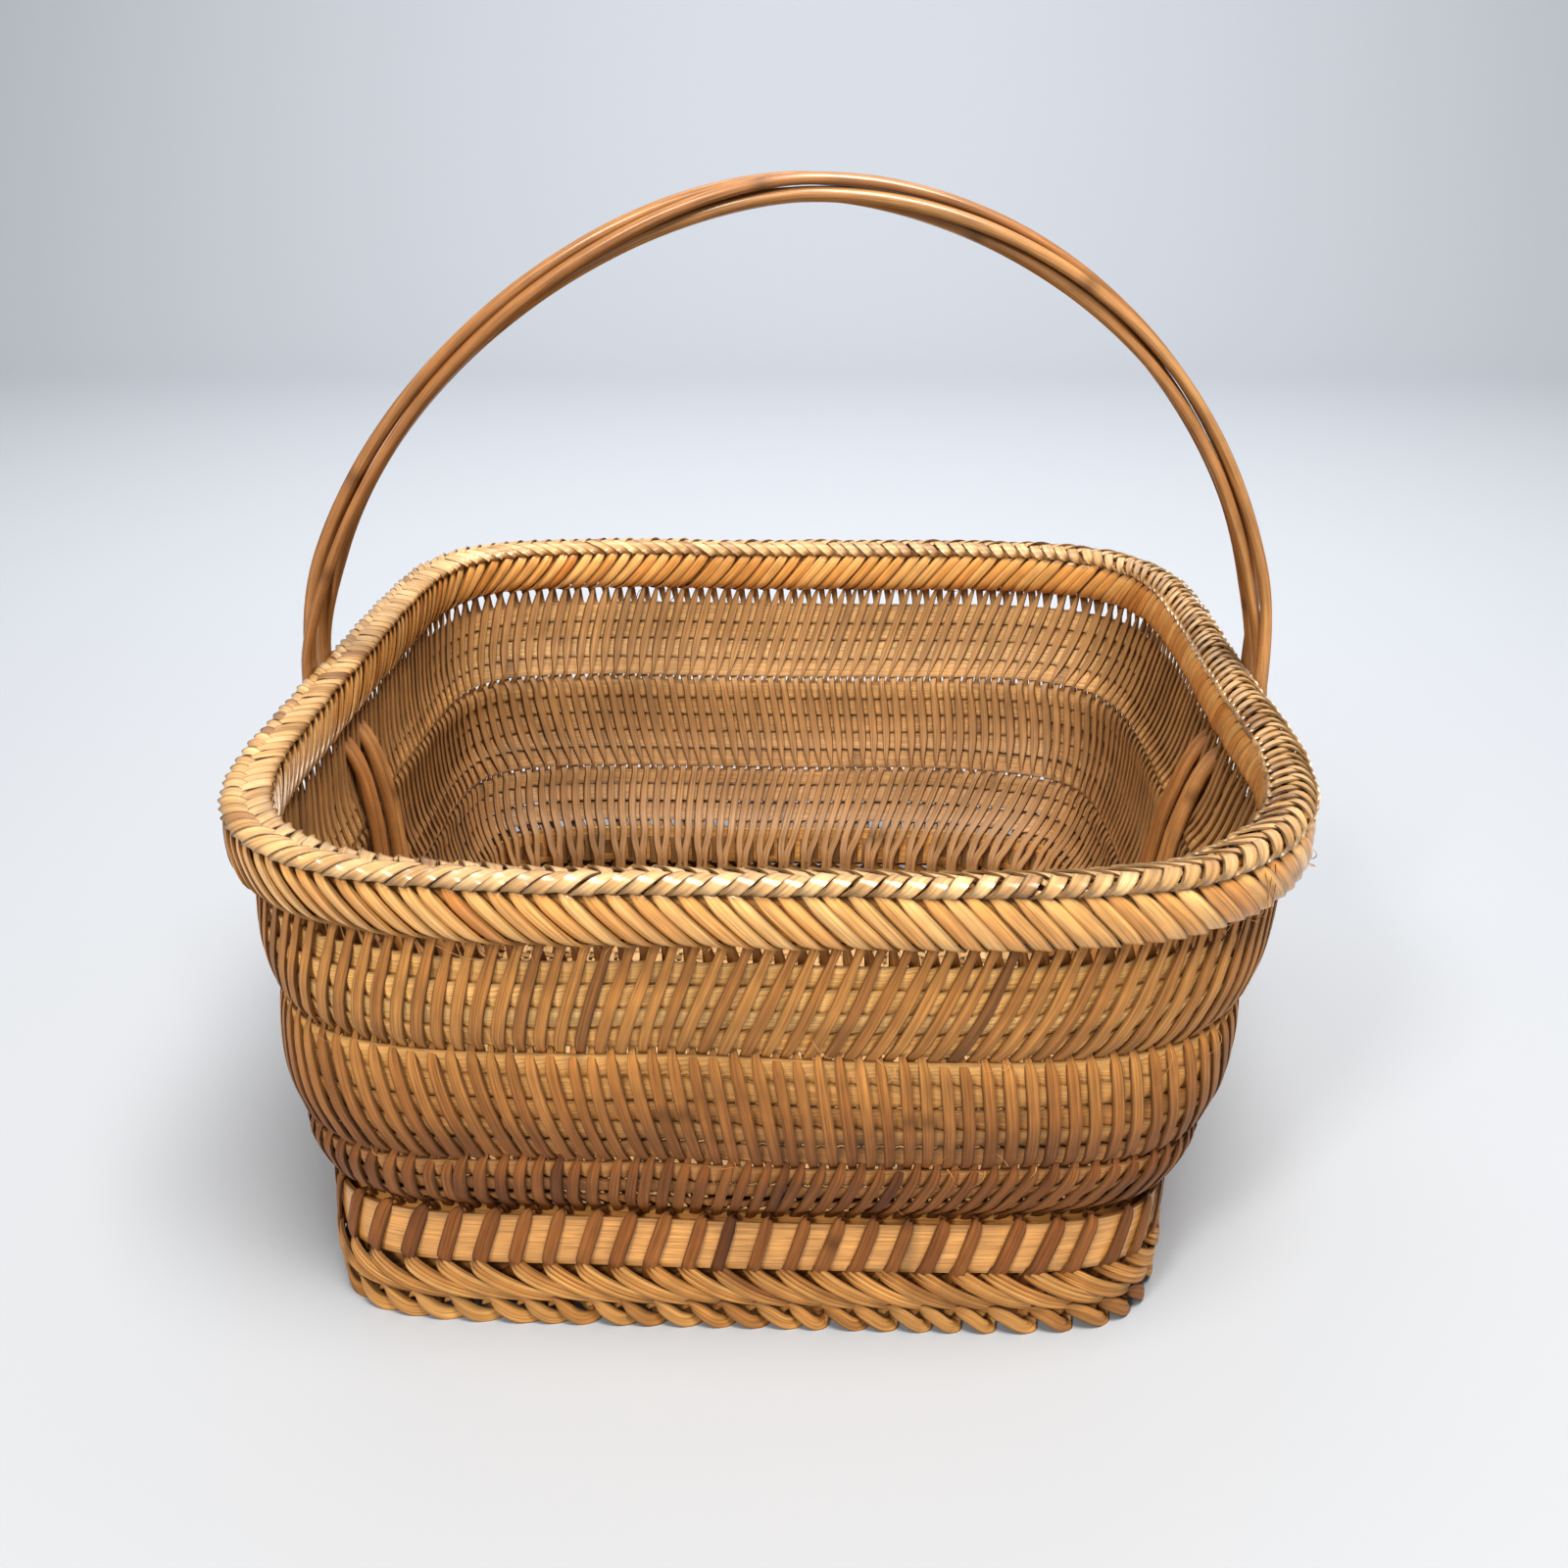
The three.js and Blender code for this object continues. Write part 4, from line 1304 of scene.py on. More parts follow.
@dataclass
class Stakes:
    """One leaning set of upright splints, pointed where it dives through the wall at each waist.

    The splints run from their top, inside the lashing, down to a foot. The set that ends inside the wall
    gathers into pairs under the lowest tier and turns in beneath the floor.
    """

    shop: Workshop
    name: str
    lean: Leaning
    phase: float
    outside_at_top: bool
    seed: int
    top: float = 188.5 * MM
    foot_outside: float = 29.5 * MM
    foot_inside: float = 28.0 * MM
    dive: float = 4.6 * MM
    under_rim: float = 169.0 * MM
    width: float = 3.9 * MM
    narrowest: float = 0.9
    tip_width: float = 1.2 * MM
    blunt_width: float = 2.7 * MM
    thick: float = 0.8 * MM
    inner_layer: float = 3.1 * MM
    crown: float = 0.14 * MM
    tip_reach: float = 3.6 * MM
    tip_flat: float = 0.8 * MM
    tip_length: float = 9.5 * MM
    gather_from: float = 47.0 * MM
    gather_length: float = 13.0 * MM
    gather_depth: float = 4.0 * MM
    gather_share: float = 0.62
    straight_below: float = 40.0 * MM
    turn_in: float = 6.0 * MM
    turn_down: float = 5.6 * MM
    tail: float = 16.0 * MM
    stations: int = 55

    def layer(self, z: float) -> float:
        """How far inside the wall's outer face the set runs at a height, as a share of the inner layer.

        Args:
            z: the height.

        Returns:
            0 outside the weavers, 1 inside them.
        """
        form = self.shop.form
        high = smooth_step((form.waist_high - z) / (2 * self.dive) + 0.5)
        low = smooth_step((form.waist_low - z) / (2 * self.dive) + 0.5)
        inside = high - low
        if not self.outside_at_top:
            inside = 1 - inside
        return inside

    def half_width_at(self, z: float) -> float:
        """Half the splint's width, which tapers to a tip just past each crossing.

        Args:
            z: the height.

        Returns:
            Half the width there.
        """
        form = self.shop.form
        full = self.width * (self.narrowest + (1 - self.narrowest) * min(1.0, z / form.waist_high))
        width = full
        for crossing in (form.waist_low, form.waist_high, self.under_rim):
            outer_above = self.outside_at_top != (crossing == form.waist_low)
            tip = crossing - self.tip_reach if outer_above else crossing + self.tip_reach
            end = self.blunt_width if outer_above else self.tip_width
            away = max(0.0, abs(z - tip) - self.tip_flat) / self.tip_length
            width = min(width, end + (full - end) * min(1.0, away) ** 0.8)
        return width / 2

    def build(self) -> None:
        """Build the set in pairs and hand it over."""
        form = self.shop.form
        strips = [self.splint(which) for which in (-0.5, 0.5)]
        piece = self.shop.row(
            self.name + "_splints",
            strips,
            STAKE_FLESH,
            count=form.stakes // 2,
            spacing=2 * form.pitch,
            seed=self.seed,
            start=(self.phase + 0.5) * form.pitch,
            wall_share=1.0,
            wander=1.5 * MM,
            side_jitter=0.35 * MM,
            depth_jitter=0.2 * MM,
            height_jitter=0.9 * MM,
            width_jitter=0.08,
        )
        self.shop.hand_over(piece, "stake_splint", self.name)

    def splint(self, which: float) -> Strip:
        """One splint of a pair.

        Args:
            which: its place in the pair, in spacings from the pair's middle.

        Returns:
            The splint, laid flat.
        """
        form = self.shop.form
        bends_in = not self.outside_at_top
        rows, halves, faces = [], [], []
        for z in np.linspace(self.top, self.foot_inside if bends_in else self.foot_outside, self.stations):
            depth = self.thick / 2 + self.layer(z) * self.inner_layer
            gathered = smooth_step((self.gather_from - z) / self.gather_length) if bends_in else 0.0
            depth += gathered * self.gather_depth
            x = self.lean.value * form.stake_lean(max(z, self.straight_below)) * form.pitch
            x += which * form.pitch * (1 - self.gather_share * gathered)
            rows.append((x, depth, z))
            halves.append(self.half_width_at(z) * form.narrowing(wall_inset(z) + depth))
            faces.append((0.0, -1.0, 0.0))
        if bends_in:
            x, depth, z = rows[-1]
            for step in np.linspace(0.2, 1.0, 7):
                turn = math.pi / 2 * min(1.0, step * 1.5)
                reach = self.turn_in * (1 - math.cos(turn)) + self.tail * max(0.0, step - 0.66)
                rows.append((x, depth + reach, z - self.turn_down * math.sin(turn)))
                halves.append(halves[-1])
                faces.append((0.0, -math.cos(turn), -math.sin(turn)))
        points = np.array(rows)
        return Strip(points, np.array(faces), np.array(halves), np.full(len(points), self.thick), self.crown)


@dataclass
class Tier:
    """A stack of horizontal weavers, each with its lower edge proud of the one below.

    Its weavers bend in under the stakes outside them, whose lean it follows. A negative overlap leaves a
    gap between one weaver and the next.
    """

    shop: Workshop
    label: str
    bottom: float
    top: float
    hoops: int
    seed: int
    outer_lean: Leaning
    overlap: float
    thick: float = 0.9 * MM
    depth: float = 1.9 * MM
    proud: float = 0.5 * MM
    bend: float = 0.36 * MM

    def build(self) -> None:
        """Build the stack and hand it over."""
        form = self.shop.form
        rise = (self.top - self.bottom) / self.hoops
        height = rise + self.overlap
        steps = form.stakes * 4
        x = np.linspace(0.0, form.girth, steps + 1)
        points = np.column_stack([x, np.full_like(x, self.depth), np.full_like(x, height / 2)])
        facing = np.tile((0.0, -1.0, -2 * self.proud / height), (len(x), 1))
        strip = Strip(
            points,
            facing,
            np.full(len(x), height / 2),
            np.full(len(x), self.thick),
            crown=0.1 * MM,
            across=3,
            closed=True,
        )
        slope = form.lean_per_tier * form.pitch / (form.waist_high - form.waist_low)
        piece = self.shop.row(
            f"{self.label}_weavers",
            [strip],
            WEAVER_FLESH,
            count=self.hoops,
            spacing=0.0,
            rise=rise,
            base=self.bottom - self.overlap / 2,
            seed=self.seed,
            wall_share=1.0,
            side_jitter=0.0,
            weave_depth=self.bend,
            weave_lean=-self.outer_lean.value * slope,
            seam=0.02 * MM,
        )
        nodes = [f"{self.label}_weaver_{i + 1}" for i in range(self.hoops)]
        self.shop.hand_over(piece, "weaver_splint", *nodes)


@dataclass
class Rim:
    """Two stiff hoops, the strips wound over them and the plait along the top.

    The core, between the hoops' tops and the plait, is given by its inset, foot and top. The lashing's
    half section, as inset and height in millimetres, runs from under the plait, down the bulging outside
    and in under the rim. A lobe's path, as distance round, inset and height in millimetres, starts below
    the rim's edge and ends under the lobes of the other side. The crest where they meet lies nearer the
    outer edge, so the inner lobes lie almost flat.
    """

    shop: Workshop
    strip_width: float = 5.2 * MM
    strip_thick: float = 0.9 * MM
    slant: float = 0.93
    lobe_width: float = 4.3 * MM
    lobe_thick: float = 0.8 * MM
    hoop_thick: float = 2.0 * MM
    hoop_foot_gap: float = 2.4 * MM
    hoop_top_gap: float = 5.6 * MM
    outer_hoop_inset: float = 3.6 * MM
    inner_hoop_inset: float = 9.2 * MM
    core: tuple[float, float, float] = (6.4 * MM, 188.0 * MM, 192.2 * MM)
    core_thick: float = 5.0 * MM
    half_section: tuple[tuple[float, float], ...] = (
        (2.8, 190.8),
        (1.6, 189.9),
        (0.6, 187.8),
        (0.1, 184.6),
        (0.0, 181.4),
        (0.2, 178.2),
        (0.8, 175.4),
        (2.0, 173.4),
        (3.8, 172.5),
        (6.4, 172.2),
    )
    outer_lobe: tuple[tuple[float, float, float], ...] = (
        (-3.4, 2.8, 190.0),
        (-1.2, 0.7, 191.1),
        (1.8, 0.1, 192.6),
        (4.8, 1.5, 194.4),
        (7.6, 3.9, 195.1),
        (10.2, 6.4, 194.2),
        (12.6, 8.4, 192.7),
    )
    inner_lobe: tuple[tuple[float, float, float], ...] = (
        (-3.4, 10.2, 190.0),
        (-1.2, 12.1, 190.8),
        (1.8, 12.6, 191.9),
        (4.8, 11.0, 193.4),
        (7.6, 8.5, 194.4),
        (10.2, 5.7, 194.7),
        (12.6, 3.2, 193.4),
    )

    def build(self) -> None:
        """Build the hoops, the lashing and the plait."""
        self.build_hoops()
        self.build_lashing()
        self.build_plait()

    def build_hoops(self) -> None:
        """Build the two hoops that hold the stakes' ends."""
        form = self.shop.form
        low, high = form.rim_bottom + self.hoop_foot_gap, form.rim_top - self.hoop_top_gap
        insets = {"rim_outer_hoop": self.outer_hoop_inset, "rim_inner_hoop": self.inner_hoop_inset}
        for name, inset in insets.items():
            piece = self.shop.row(
                name + "_splint",
                [ring_strip(form, inset, low, high, self.hoop_thick)],
                HOOP_SKIN,
                count=1,
                seam=0.02 * MM,
                side_jitter=0.0,
            )
            self.shop.hand_over(piece, "weaver_splint", name)

    def build_lashing(self) -> None:
        """Build the strips that run down the outside, under the rim and up the inside."""
        form = self.shop.form
        half = np.array(self.half_section) * MM
        far = half[::-1][1:].copy()
        far[:, 0] = form.rim_thick - far[:, 0]
        knots = np.vstack([half, far])
        s = np.concatenate([[0.0], np.cumsum(np.linalg.norm(np.diff(knots, axis=0), axis=1))])
        fine = np.linspace(0, s[-1], 37)
        section = np.column_stack([smooth_line(s, knots[:, k], fine) for k in range(2)])
        x = -self.slant * np.abs(fine - s[-1] / 2)
        points = np.column_stack([x, section])
        along = np.gradient(section, axis=0)
        facing = np.column_stack([np.zeros(len(fine)), along[:, 1], -along[:, 0]])
        away = np.minimum(fine, s[-1] - fine)
        width = self.strip_width * (0.5 + 0.5 * np.clip(away / (5.5 * MM), 0, 1))
        strip = Strip(
            points,
            facing,
            width / 2,
            np.full(len(points), self.strip_thick),
            crown=0.36 * MM,
            lift=-0.5 * MM,
            across=5,
        )
        piece = self.shop.row(
            "rim_lashing_strips",
            [strip],
            LASHING_SKIN,
            seed=31,
            side_jitter=0.45 * MM,
            depth_jitter=0.2 * MM,
            height_jitter=0.35 * MM,
            width_jitter=0.03,
        )
        piece = join([piece, LooseFibres(self.shop).build()], "rim_lashing_strips")
        self.shop.hand_over(piece, "lashing_splint", "rim_lashing")

    def build_plait(self) -> None:
        """Build the chevron plait over its core: outer and inner lobes that meet along the rim's crest."""
        piece = self.shop.row(
            "rim_braid_lobes",
            [self.plait_lobe(-1), self.plait_lobe(1)],
            PLAIT_SKIN,
            seed=47,
            side_jitter=0.5 * MM,
            height_jitter=0.35 * MM,
            depth_jitter=0.25 * MM,
            width_jitter=0.06,
        )
        core = ring_strip(self.shop.form, *self.core, self.core_thick)
        filler = self.shop.row("rim_braid_core", [core], HOOP_SKIN, count=1, seam=0.02 * MM, side_jitter=0.0)
        piece = join([piece, filler], "rim_braid_lobes")
        self.shop.hand_over(piece, "lashing_splint", "rim_braid")

    def plait_lobe(self, side: int) -> Strip:
        """One lobe of the plait, from the rim's edge up over its crest.

        Args:
            side: -1 for the outer side, 1 for the inner side.

        Returns:
            The strip.
        """
        form = self.shop.form
        knots = np.array(self.outer_lobe if side < 0 else self.inner_lobe) * MM
        knots[:, 0] += form.pitch / 2 if side > 0 else 0.0
        s = np.linspace(0, 1, len(knots))
        fine = np.linspace(0, 1, 16)
        points = np.column_stack([smooth_line(s, knots[:, k], fine) for k in range(3)])
        along = np.gradient(points, axis=0)
        facing = np.column_stack([np.zeros(16), side * along[:, 2], -side * along[:, 1]])
        swell = np.clip(np.minimum(0.55 + 2.4 * fine, 0.6 + 1.4 * (1 - fine)), 0, 1)
        half = self.lobe_width / 2 * swell
        thick = np.full(16, self.lobe_thick)
        return Strip(points, facing, half, thick, crown=0.14 * MM, lift=0.36 * MM * side)


def ring_strip(
    form: BasketForm, inset: float, low: float, high: float, thick: float, tip: float = 0.0
) -> Strip:
    """A plain hoop laid flat, its two ends meeting once it is wrapped.

    Args:
        form: the basket's form.
        inset: inset of its middle.
        low: height of its lower edge.
        high: height of its upper edge.
        thick: its thickness.
        tip: how far its lower edge leans out.

    Returns:
        The strip.
    """
    steps = form.stakes * 2
    x = np.linspace(0.0, form.girth, steps + 1)
    points = np.column_stack([x, np.full_like(x, inset), np.full_like(x, (low + high) / 2)])
    facing = np.tile((0.0, -1.0, -tip / (high - low)), (len(x), 1))
    half = np.full(len(x), (high - low) / 2)
    return Strip(points, facing, half, np.full(len(x), thick), crown=0.25 * MM, across=5, closed=True)


@dataclass
class LooseFibres:
    """Fine fibres that have sprung from the splints' edges, most of them short, one long at a rim corner."""

    shop: Workshop
    count: int = 90
    seed: int = 29
    corner: float = 0.875
    edges: tuple[float, ...] = (171.0, 165.0, 127.0, 80.0, 49.0)
    lashing_low: float = 172.0 * MM
    radius: float = 0.16 * MM
    points: int = 9

    def build(self) -> bpy.types.Object:
        """Build them all in the lashing's finish.

        Returns:
            The fibres, to be joined to the lashing they mostly spring from.
        """
        noise = np.random.default_rng(self.seed)
        girth = self.shop.form.girth
        fibres = []
        for _ in range(self.count):
            z = noise.choice(self.edges) * MM + noise.normal(0, 1.5 * MM)
            fibres.append(self.fibre(noise, noise.uniform(0, girth), z, noise.uniform(4, 13) * MM, 0.0))
        for shift in (0.0, 2.6, -3.0):
            fibres.append(self.fibre(noise, girth * self.corner + shift * MM, 189 * MM, 30 * MM, 1.0))
        return self.shop.row("loose_fibres", fibres, LASHING_SKIN, count=1, side_jitter=0.0, seed=5)

    def fibre(self, noise: np.random.Generator, x: float, z: float, length: float, hang: float) -> Strip:
        """One fibre that leaves the basket's face, bows out and comes back.

        Args:
            noise: the random generator.
            x: where it starts, measured round the rim.
            z: where it starts, in height.
            length: its length.
            hang: 1 for one that hangs straight down over the rim, 0 for one that lies any way.

        Returns:
            The fibre, laid flat.
        """
        turn = -math.pi / 2 if hang else noise.uniform(-0.9, 0.9) * math.pi
        bow = noise.uniform(0.8, 2.2) * MM
        curl = noise.uniform(-0.9, 0.9)
        t = np.linspace(0, 1, self.points)
        heading = turn + curl * t
        step = length / (self.points - 1)
        across = x + np.concatenate([[0.0], np.cumsum(np.cos(heading[1:]) * step)])
        height = z + np.concatenate([[0.0], np.cumsum(np.sin(heading[1:]) * step)])
        face = [0.2 * MM if h > self.lashing_low else wall_inset(h) for h in height]
        depth = np.array(face) - bow * np.sin(math.pi * t**0.7) - 0.2 * MM
        half = np.full(self.points, self.radius) * (1 - 0.6 * t)
        facing = np.tile((0.0, -1.0, 0.0), (self.points, 1))
        return Strip(np.column_stack([across, depth, height]), facing, half, half * 1.2, across=3)


@dataclass
class Foot:
    """The hoop, ties, slanting strips and ground plait that the basket stands on.

    The hoop is two splints, one outside the stakes and one inside them.
    """

    shop: Workshop
    hoop_top: float = 48.2 * MM
    hoop_inset: float = 0.9 * MM
    hoop_thick: float = 1.4 * MM
    hoop_tip: float = 0.8 * MM
    inner_hoop_low: float = 30.0 * MM
    inner_hoop_top: float = 49.8 * MM
    inner_hoop_inset: float = 5.2 * MM
    inner_hoop_thick: float = 1.2 * MM
    tie_width: float = 4.7 * MM
    leaf_width: float = 2.2 * MM
    lobe_width: float = 5.4 * MM

    @property
    def spacing(self) -> float:
        """Spacing of the foot's strips, laid flat at the rim's girth."""
        return self.shop.form.girth / self.shop.form.foot_strips

    def row(
        self, name: str, strips: list[Strip], finish: SplitBamboo, **values: float
    ) -> bpy.types.Object:
        """Repeat strips at the foot's own spacing.

        Args:
            name: the finished piece's name.
            strips: what is repeated.
            finish: its finish.
            values: other inputs of the row tree.

        Returns:
            The finished piece.
        """
        return self.shop.row(
            name,
            strips,
            finish,
            count=self.shop.form.foot_strips,
            spacing=self.spacing,
            **values,
        )

    def build(self) -> None:
        """Build the foot from its hoop down."""
        form = self.shop.form
        outer = ring_strip(
            form,
            form.foot_inset + self.hoop_inset,
            form.foot_hoop_low,
            self.hoop_top,
            self.hoop_thick,
            self.hoop_tip,
        )
        inner = ring_strip(
            form,
            form.foot_inset + self.inner_hoop_inset,
            self.inner_hoop_low,
            self.inner_hoop_top,
            self.inner_hoop_thick,
        )
        hoop = self.shop.row(
            "foot_hoop_splint",
            [outer, inner],
            HOOP_SKIN,
            count=1,
            side_jitter=0.0,
            seam=0.02 * MM,
            seed=5,
        )
        self.shop.hand_over(hoop, "weaver_splint", "foot_hoop")
        self.build_ties()
        self.build_leaves()
        self.build_plait()

    def build_ties(self) -> None:
        """Build the ties, which come out over the hoop in a point and go down behind the slanting strips."""
        out = self.shop.form.foot_inset / MM
        path = (
            (6.2, out + 3.6, 46.5),
            (5.8, out + 2.4, 49.4),
            (5.3, out + 0.6, 50.4),
            (4.7, out - 0.7, 47.8),
            (3.3, out - 0.9, 42.0),
            (1.5, out - 0.9, 35.0),
            (0.0, out - 0.6, 29.2),
            (-0.8, out + 0.9, 25.6),
            (-1.4, out + 2.4, 20.0),
        )
        strip = self.free_strip(path, self.tie_width, 0.7 * MM, 0.3 * MM)
        opened = np.linspace(0, 1, len(strip.half_width))
        strip.half_width *= np.clip(0.3 + 2.6 * np.maximum(0.0, opened - 0.16), 0, 1)
        piece = self.row(
            "foot_ties_strips", [strip], STAKE_FLESH, seed=61, side_jitter=1.0 * MM, width_jitter=0.12
        )
        self.shop.hand_over(piece, "tie_splint", "foot_ties")

    def free_strip(
        self,
        path: tuple[tuple[float, float, float], ...],
        width: float,
        thick: float,
        crown: float,
        taper: float = 0.0,
    ) -> Strip:
        """Lay a strip through a few points in millimetres, facing out of the wall all the way.

        Args:
            path: points as distance round in true length, inset and height.
            width: its width.
            thick: its thickness.
            crown: how far its middle stands proud.
            taper: share of its width lost at the far end.

        Returns:
            The strip.
        """
        form = self.shop.form
        knots = np.array(path, float) * MM
        s = np.linspace(0, 1, len(knots))
        fine = np.linspace(0, 1, 3 * len(knots))
        points = np.column_stack([smooth_line(s, knots[:, k], fine) for k in range(3)])
        stretch = form.narrowing(float(knots[:, 1].mean()))
        points[:, 0] *= stretch
        along = np.gradient(points, axis=0)
        outwards = -np.abs(along[:, 2]) - np.abs(along[:, 0])
        upwards = along[:, 1] * -np.sign(along[:, 2])
        facing = np.column_stack([np.zeros(len(fine)), outwards, upwards])
        half = width / 2 * (1 - taper * fine**2) * stretch
        return Strip(points, facing, half, np.full(len(fine), thick), crown=crown)

    def build_leaves(self) -> None:
        """Build the long slanting strips, three thin splints to each, and one broad one inside them."""
        out = self.shop.form.foot_inset / MM
        strips = []
        for drop in (0.0, 1.75, 3.5):
            path = (
                (-2.0 - drop / 2, out + 2.2, 28.8 - drop),
                (1.4 - drop / 2, out - 0.5, 26.6 - drop),
                (8.0 - drop / 2, out - 1.1, 21.8 - drop * 0.9),
                (15.0 - drop / 2, out - 0.8, 17.6 - drop * 0.8),
                (21.5 - drop / 2, out + 0.3, 14.4 - drop * 0.6),
                (27.0 - drop / 2, out + 1.8, 12.0 - drop * 0.4),
            )
            strips.append(self.free_strip(path, self.leaf_width, 0.9 * MM, 0.35 * MM, taper=0.3))
        lining = (
            (22.0, out + 5.4, 27.0),
            (15.0, out + 5.6, 23.0),
            (8.0, out + 5.8, 18.5),
            (0.0, out + 5.6, 12.5),
        )
        strips.append(self.free_strip(lining, 6.4 * MM, 0.9 * MM, 0.3 * MM))
        piece = self.row(
            "foot_leaf_strips",
            strips,
            FOOT_FLESH,
            seed=67,
            side_jitter=1.0 * MM,
            height_jitter=0.4 * MM,
            depth_jitter=0.3 * MM,
        )
        self.shop.hand_over(piece, "foot_plait", "foot_leaf_row")

    def build_plait(self) -> None:
        """Build the ground plait of slanting lobes, flat where it stands."""
        middle = self.shop.form.foot_inset / MM + 4.2
        strips = []
        for side in (-1, 1):
            path = (
                (-2.4, middle - side * 0.4, 9.2),
                (0.4, middle + side * 2.4, 10.0),
                (4.2, middle + side * 4.0, 8.0),
                (8.4, middle + side * 3.9, 4.2),
                (12.0, middle + side * 2.2, 1.9),
                (15.0, middle - side * 0.8, 1.5),
            )
            strip = self.free_strip(path, self.lobe_width, 1.1 * MM, 0.6 * MM, taper=0.3)
            strip.facing[:, 1] *= -side
            strips.append(strip)
        piece = self.row(
            "foot_braid_lobes",
            strips,
            FOOT_FLESH,
            grounded=True,
            seed=71,
            side_jitter=1.2 * MM,
            height_jitter=0.0,
            width_jitter=0.1,
        )
        self.shop.hand_over(piece, "foot_plait", "foot_braid")


def smooth_line(at: np.ndarray, values: np.ndarray, wanted: np.ndarray) -> np.ndarray:
    """Interpolate through values with no sharp bends.

    Args:
        at: where the values are.
        values: the values.
        wanted: where to read the smooth line.

    Returns:
        The line's values.
    """
    slopes = np.gradient(values, at)
    result = np.empty(len(wanted))
    for n, w in enumerate(wanted):
        i = min(len(at) - 2, max(0, int(np.searchsorted(at, w, side="right")) - 1))
        h = at[i + 1] - at[i]
        t = (w - at[i]) / h
        result[n] = (
            (2 * t**3 - 3 * t**2 + 1) * values[i]
            + (t**3 - 2 * t**2 + t) * h * slopes[i]
            + (-2 * t**3 + 3 * t**2) * values[i + 1]
            + (t**3 - t**2) * h * slopes[i + 1]
        )
    return result


@dataclass
class Handle:
    """Four split canes, gathered into a lightly twisted bundle over the arch.

    The places are where the canes stand at the rim, in millimetres from the handle's middle. Gather is the
    share of the arch at each end over which they come together. A leg's stations give height and inset in
    millimetres and how far its canes fan out, from the floor up.
    """

    shop: Workshop
    cane: float = 5.4 * MM
    sides: int = 10
    places: tuple[float, ...] = (-12.2, -6.9, 6.9, 12.2)
    bundle: float = 3.7 * MM
    gather: float = 0.16
    twist_turns: float = 0.5
    spring_z: float = 0.192
    apex_x: float = 9.0 * MM
    left_squareness: float = 1.72
    right_squareness: float = 1.95
    leg_stations: tuple[tuple[float, float, float], ...] = (
        (25.0, 45.2, 1.9),
        (52.0, 43.4, 1.7),
        (77.0, 30.0, 1.5),
        (100.0, 24.6, 1.3),
        (126.0, 21.8, 1.15),
        (140.0, 18.8, 1.05),
        (152.0, 15.4, 1.0),
        (160.0, 11.4, 1.0),
        (165.5, 6.6, 1.0),
        (169.5, 1.8, 1.0),
        (174.0, -1.8, 1.0),
        (181.0, -2.9, 1.0),
    )

    def arch(self, t: float) -> np.ndarray:
        """A point of the arch's middle line, from the left springing at 0 to the right one at 1.

        Args:
            t: the share of the arch.

        Returns:
            The point.
        """
        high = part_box("handle_cane_1")[1]
        half = high.x - self.cane / 2 + 0.2 * MM
        rise = high.z - self.bundle - self.cane / 2 - self.spring_z
        angle = math.pi * t
        c, s = math.cos(angle), math.sin(angle)
        power = self.left_squareness if c > 0 else self.right_squareness
        half += self.apex_x if c > 0 else -self.apex_x
        radius = ((abs(c) / half) ** power + (abs(s) / rise) ** power) ** (-1 / power)
        return np.array([self.apex_x - radius * c, 0.0, self.spring_z + radius * s])

    def leg(self, side: int) -> list[tuple[float, float, float]]:
        """The leg's middle line from the floor up to the springing, with how far it fans out.

        Args:
            side: -1 for the left leg, 1 for the right one.

        Returns:
            x, z and fan at each station.
        """
        form = self.shop.form
        return [
            (side * (form.half_width - inset * MM) + form.lean(z * MM), z * MM, fan)
            for z, inset, fan in self.leg_stations
        ]

    def build(self) -> None:
        """Build the four canes."""
        for number in range(4):
            points = self.cane_path(number)
            piece = round_cane(f"handle_cane_{number + 1}_split", points, self.cane / 2, self.sides, number)
            piece.data.materials.append(self.shop.finish(CANE_SKIN))
            self.shop.hand_over(piece, "handle_cane", f"handle_cane_{number + 1}")

    def cane_path(self, number: int) -> np.ndarray:
        """Work out one cane's middle line.

        Args:
            number: 0 to 3, from front to back at the left leg.

        Returns:
            Its points.
        """
        place = self.places[number] * MM
        start = TAU * (0.625 + number / 4)
        left = [(x, place * fan, z) for x, z, fan in self.leg(-1)]
        arch = []
        for t in np.linspace(0.0, 1.0, 90):
            gathered = smooth_step(min(t, 1 - t) / self.gather)
            lifted = smooth_step(min(t, 1 - t) / (0.5 * self.gather))
            twisted = smooth_step((t - self.gather) / (1 - 2 * self.gather))
            turn = start + TAU * self.twist_turns * twisted
            mid, ahead = self.arch(t), self.arch(min(1.0, t + 0.004))
            behind = self.arch(max(0.0, t - 0.004))
            along = (ahead - behind) / np.linalg.norm(ahead - behind)
            out = np.array([-along[2], 0.0, along[0]])
            end_place = place if t < 0.5 else -place
            point = mid + out * self.bundle * math.cos(turn) * lifted
            point[1] = end_place * (1 - gathered) + self.bundle * math.sin(turn) * gathered
            arch.append(tuple(point))
        right = [(x, -place * fan, z) for x, z, fan in reversed(self.leg(1))]
        knots = np.array(left + arch + right)
        s = np.concatenate([[0.0], np.cumsum(np.linalg.norm(np.diff(knots, axis=0), axis=1))])
        fine = np.unique(np.concatenate([s, (s[1:] + s[:-1]) / 2]))
        return np.column_stack([smooth_line(s, knots[:, k], fine) for k in range(3)])


